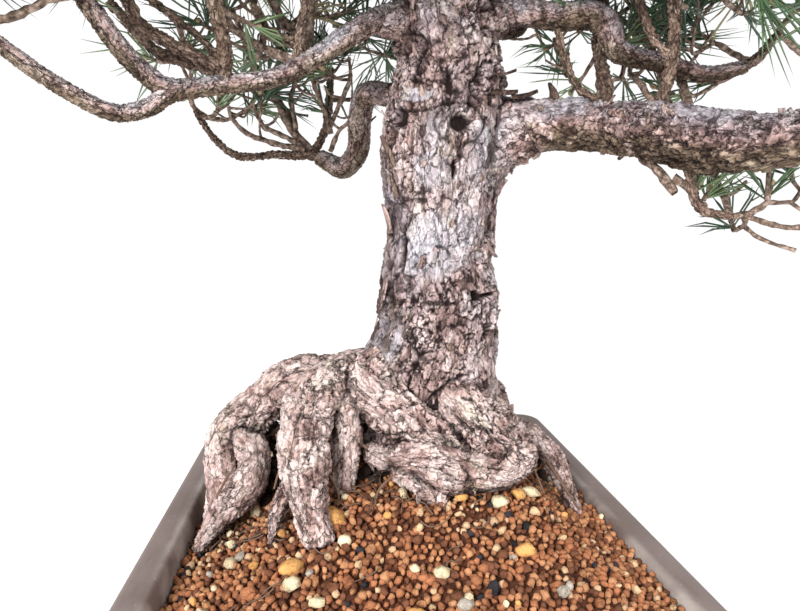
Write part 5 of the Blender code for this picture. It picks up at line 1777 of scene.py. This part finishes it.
# %% Rootlets
ROOTLETS = 80
THREAD_RINGS, THREAD_SIDES = 1.8, 4
ROOTLET_PLACES = [((-32, -30), 16), ((-60, -20), 14), ((-84, -4), 16), ((10, -26), 22), ((60, -14), 18),
                  ((-20, 0), 20), ((88, 8), 12), ((-10, -60), 60)]
thread_parts = []
for _ in range(ROOTLETS):
    (x, y), reach = ROOTLET_PLACES[int(draw.integers(len(ROOTLET_PLACES)))]
    x, y = x + draw.normal(0, reach / 2), y + draw.normal(0, reach / 2)
    turn = draw.uniform(0, 2 * np.pi)
    length = draw.uniform(6, 22)
    points = []
    for step in range(5):
        height = soil_height(x, y)
        if abs(x) > half_x or abs(y) > half_y or height is None:
            break
        points.append((x, y, height + draw.uniform(0.4, 2.2), 0.45 - 0.06 * step))
        x, y = x + math.cos(turn) * length / 4, y + math.sin(turn) * length / 4
        turn += draw.normal(0, 0.5)
    if len(points) > 2:
        thread_parts.append(tube(smooth_path(points, 3), draw, 0.15, THREAD_RINGS, THREAD_SIDES))
HANGING = [                    # threads that hang from the roots into the hollows
    [(-52, -14, 118, 1.0), (-55, -20, 108, 0.8), (-54, -26, 98, 0.6)],
    [(-24, -6, 124, 0.9), (-10, -12, 116, 0.8), (2, -16, 110, 0.7)],
    [(-34, -22, 112, 0.8), (-30, -26, 104, 0.6), (-31, -30, 98, 0.5)],
    [(-60, 2, 124, 0.8), (-58, -4, 112, 0.7), (-61, -8, 100, 0.5)],
    [(58, -14, 116, 0.8), (66, -14, 106, 0.7), (70, -18, 96, 0.5)],
    [(-84, 4, 104, 0.9), (-90, -2, 92, 0.8), (-88, -10, 82, 0.6)],
    [(-4, -24, 112, 0.8), (-12, -28, 106, 0.7), (-14, -34, 100, 0.5)],
    [(78, 2, 104, 0.9), (84, -8, 94, 0.7), (90, -14, 84, 0.5)],
]
for path in HANGING:
    thread_parts.append(tube(smooth_path(path, 4), draw, 0.2, THREAD_RINGS, THREAD_SIDES))
place_parts("rootlets", thread_parts, plain_finish("rootlets", (100, 76, 60), 0.95), "soil", "soil")

# %% [markdown]
# ## Studio
# A plain pale floor and wide soft lights show the bark's relief without hard shadows.

# %% Floor and light
FLOOR_SIZE = 4.0               # metres
SKY_STRENGTH = 1.03
TRUNK_FOOT = (0.0, 0.0, 0.2)
square = bmesh.new()
bmesh.ops.create_grid(square, x_segments=1, y_segments=1, size=FLOOR_SIZE)
floor_mesh = mesh_of_shape("floor", square)
floor = put_in_scene("floor", floor_mesh)
paper = Nodes("paper", roughness=0.9)
paper.shader.inputs["Base Color"].default_value = (0.96, 0.96, 0.96, 1.0)
floor_mesh.materials.append(paper.material)

world = bpy.data.worlds.new("studio")
bpy.context.scene.world = world
world.use_nodes = True
world.node_tree.nodes["Background"].inputs["Color"].default_value = (1.0, 1.0, 1.0, 1.0)
world.node_tree.nodes["Background"].inputs["Strength"].default_value = SKY_STRENGTH


def soft_light(name, place, target, size, power):
    """A square area light of a size and power, aimed at a target."""
    light = bpy.data.lights.new(name, "AREA")
    light.shape = "SQUARE"
    light.size = size
    light.energy = power
    lamp = put_in_scene(name, light)
    lamp.location = place
    lamp.rotation_euler = (Vector(target) - Vector(place)).to_track_quat("-Z", "Y").to_euler()


soft_light("key", (-0.75, -1.3, 0.85), TRUNK_FOOT, 0.5, 43.0)
soft_light("fill", (1.2, -0.9, 0.6), TRUNK_FOOT, 1.0, 12.0)
print("lights:", len(bpy.data.lights), "sky:", SKY_STRENGTH)

# %% [markdown]
# The camera stands low and close before the pot, so the trunk fills the view.

# %% Camera
VIEW_PLACE = (-29.3, -291.1, 230.8)
VIEW_TURN = 5.925
VIEW_DIP = 8.439
LENS, SENSOR = 27.45, 36.0
camera_data = bpy.data.cameras.new("camera")
camera_data.lens = LENS
camera_data.sensor_width = SENSOR
camera_data.clip_start = 0.01
camera = put_in_scene("camera", camera_data)
camera.location = Vector(VIEW_PLACE) * MM
turn, dip = math.radians(VIEW_TURN), math.radians(VIEW_DIP)
ahead = Vector((math.sin(turn) * math.cos(dip), math.cos(turn) * math.cos(dip), -math.sin(dip)))
camera.rotation_euler = ahead.to_track_quat("-Z", "Y").to_euler()
bpy.context.scene.camera = camera
bpy.context.scene.view_settings.view_transform = "Standard"
print("camera at", VIEW_PLACE, "mm, turned", VIEW_TURN, "and dipped", VIEW_DIP, "degrees")

# %% [markdown]
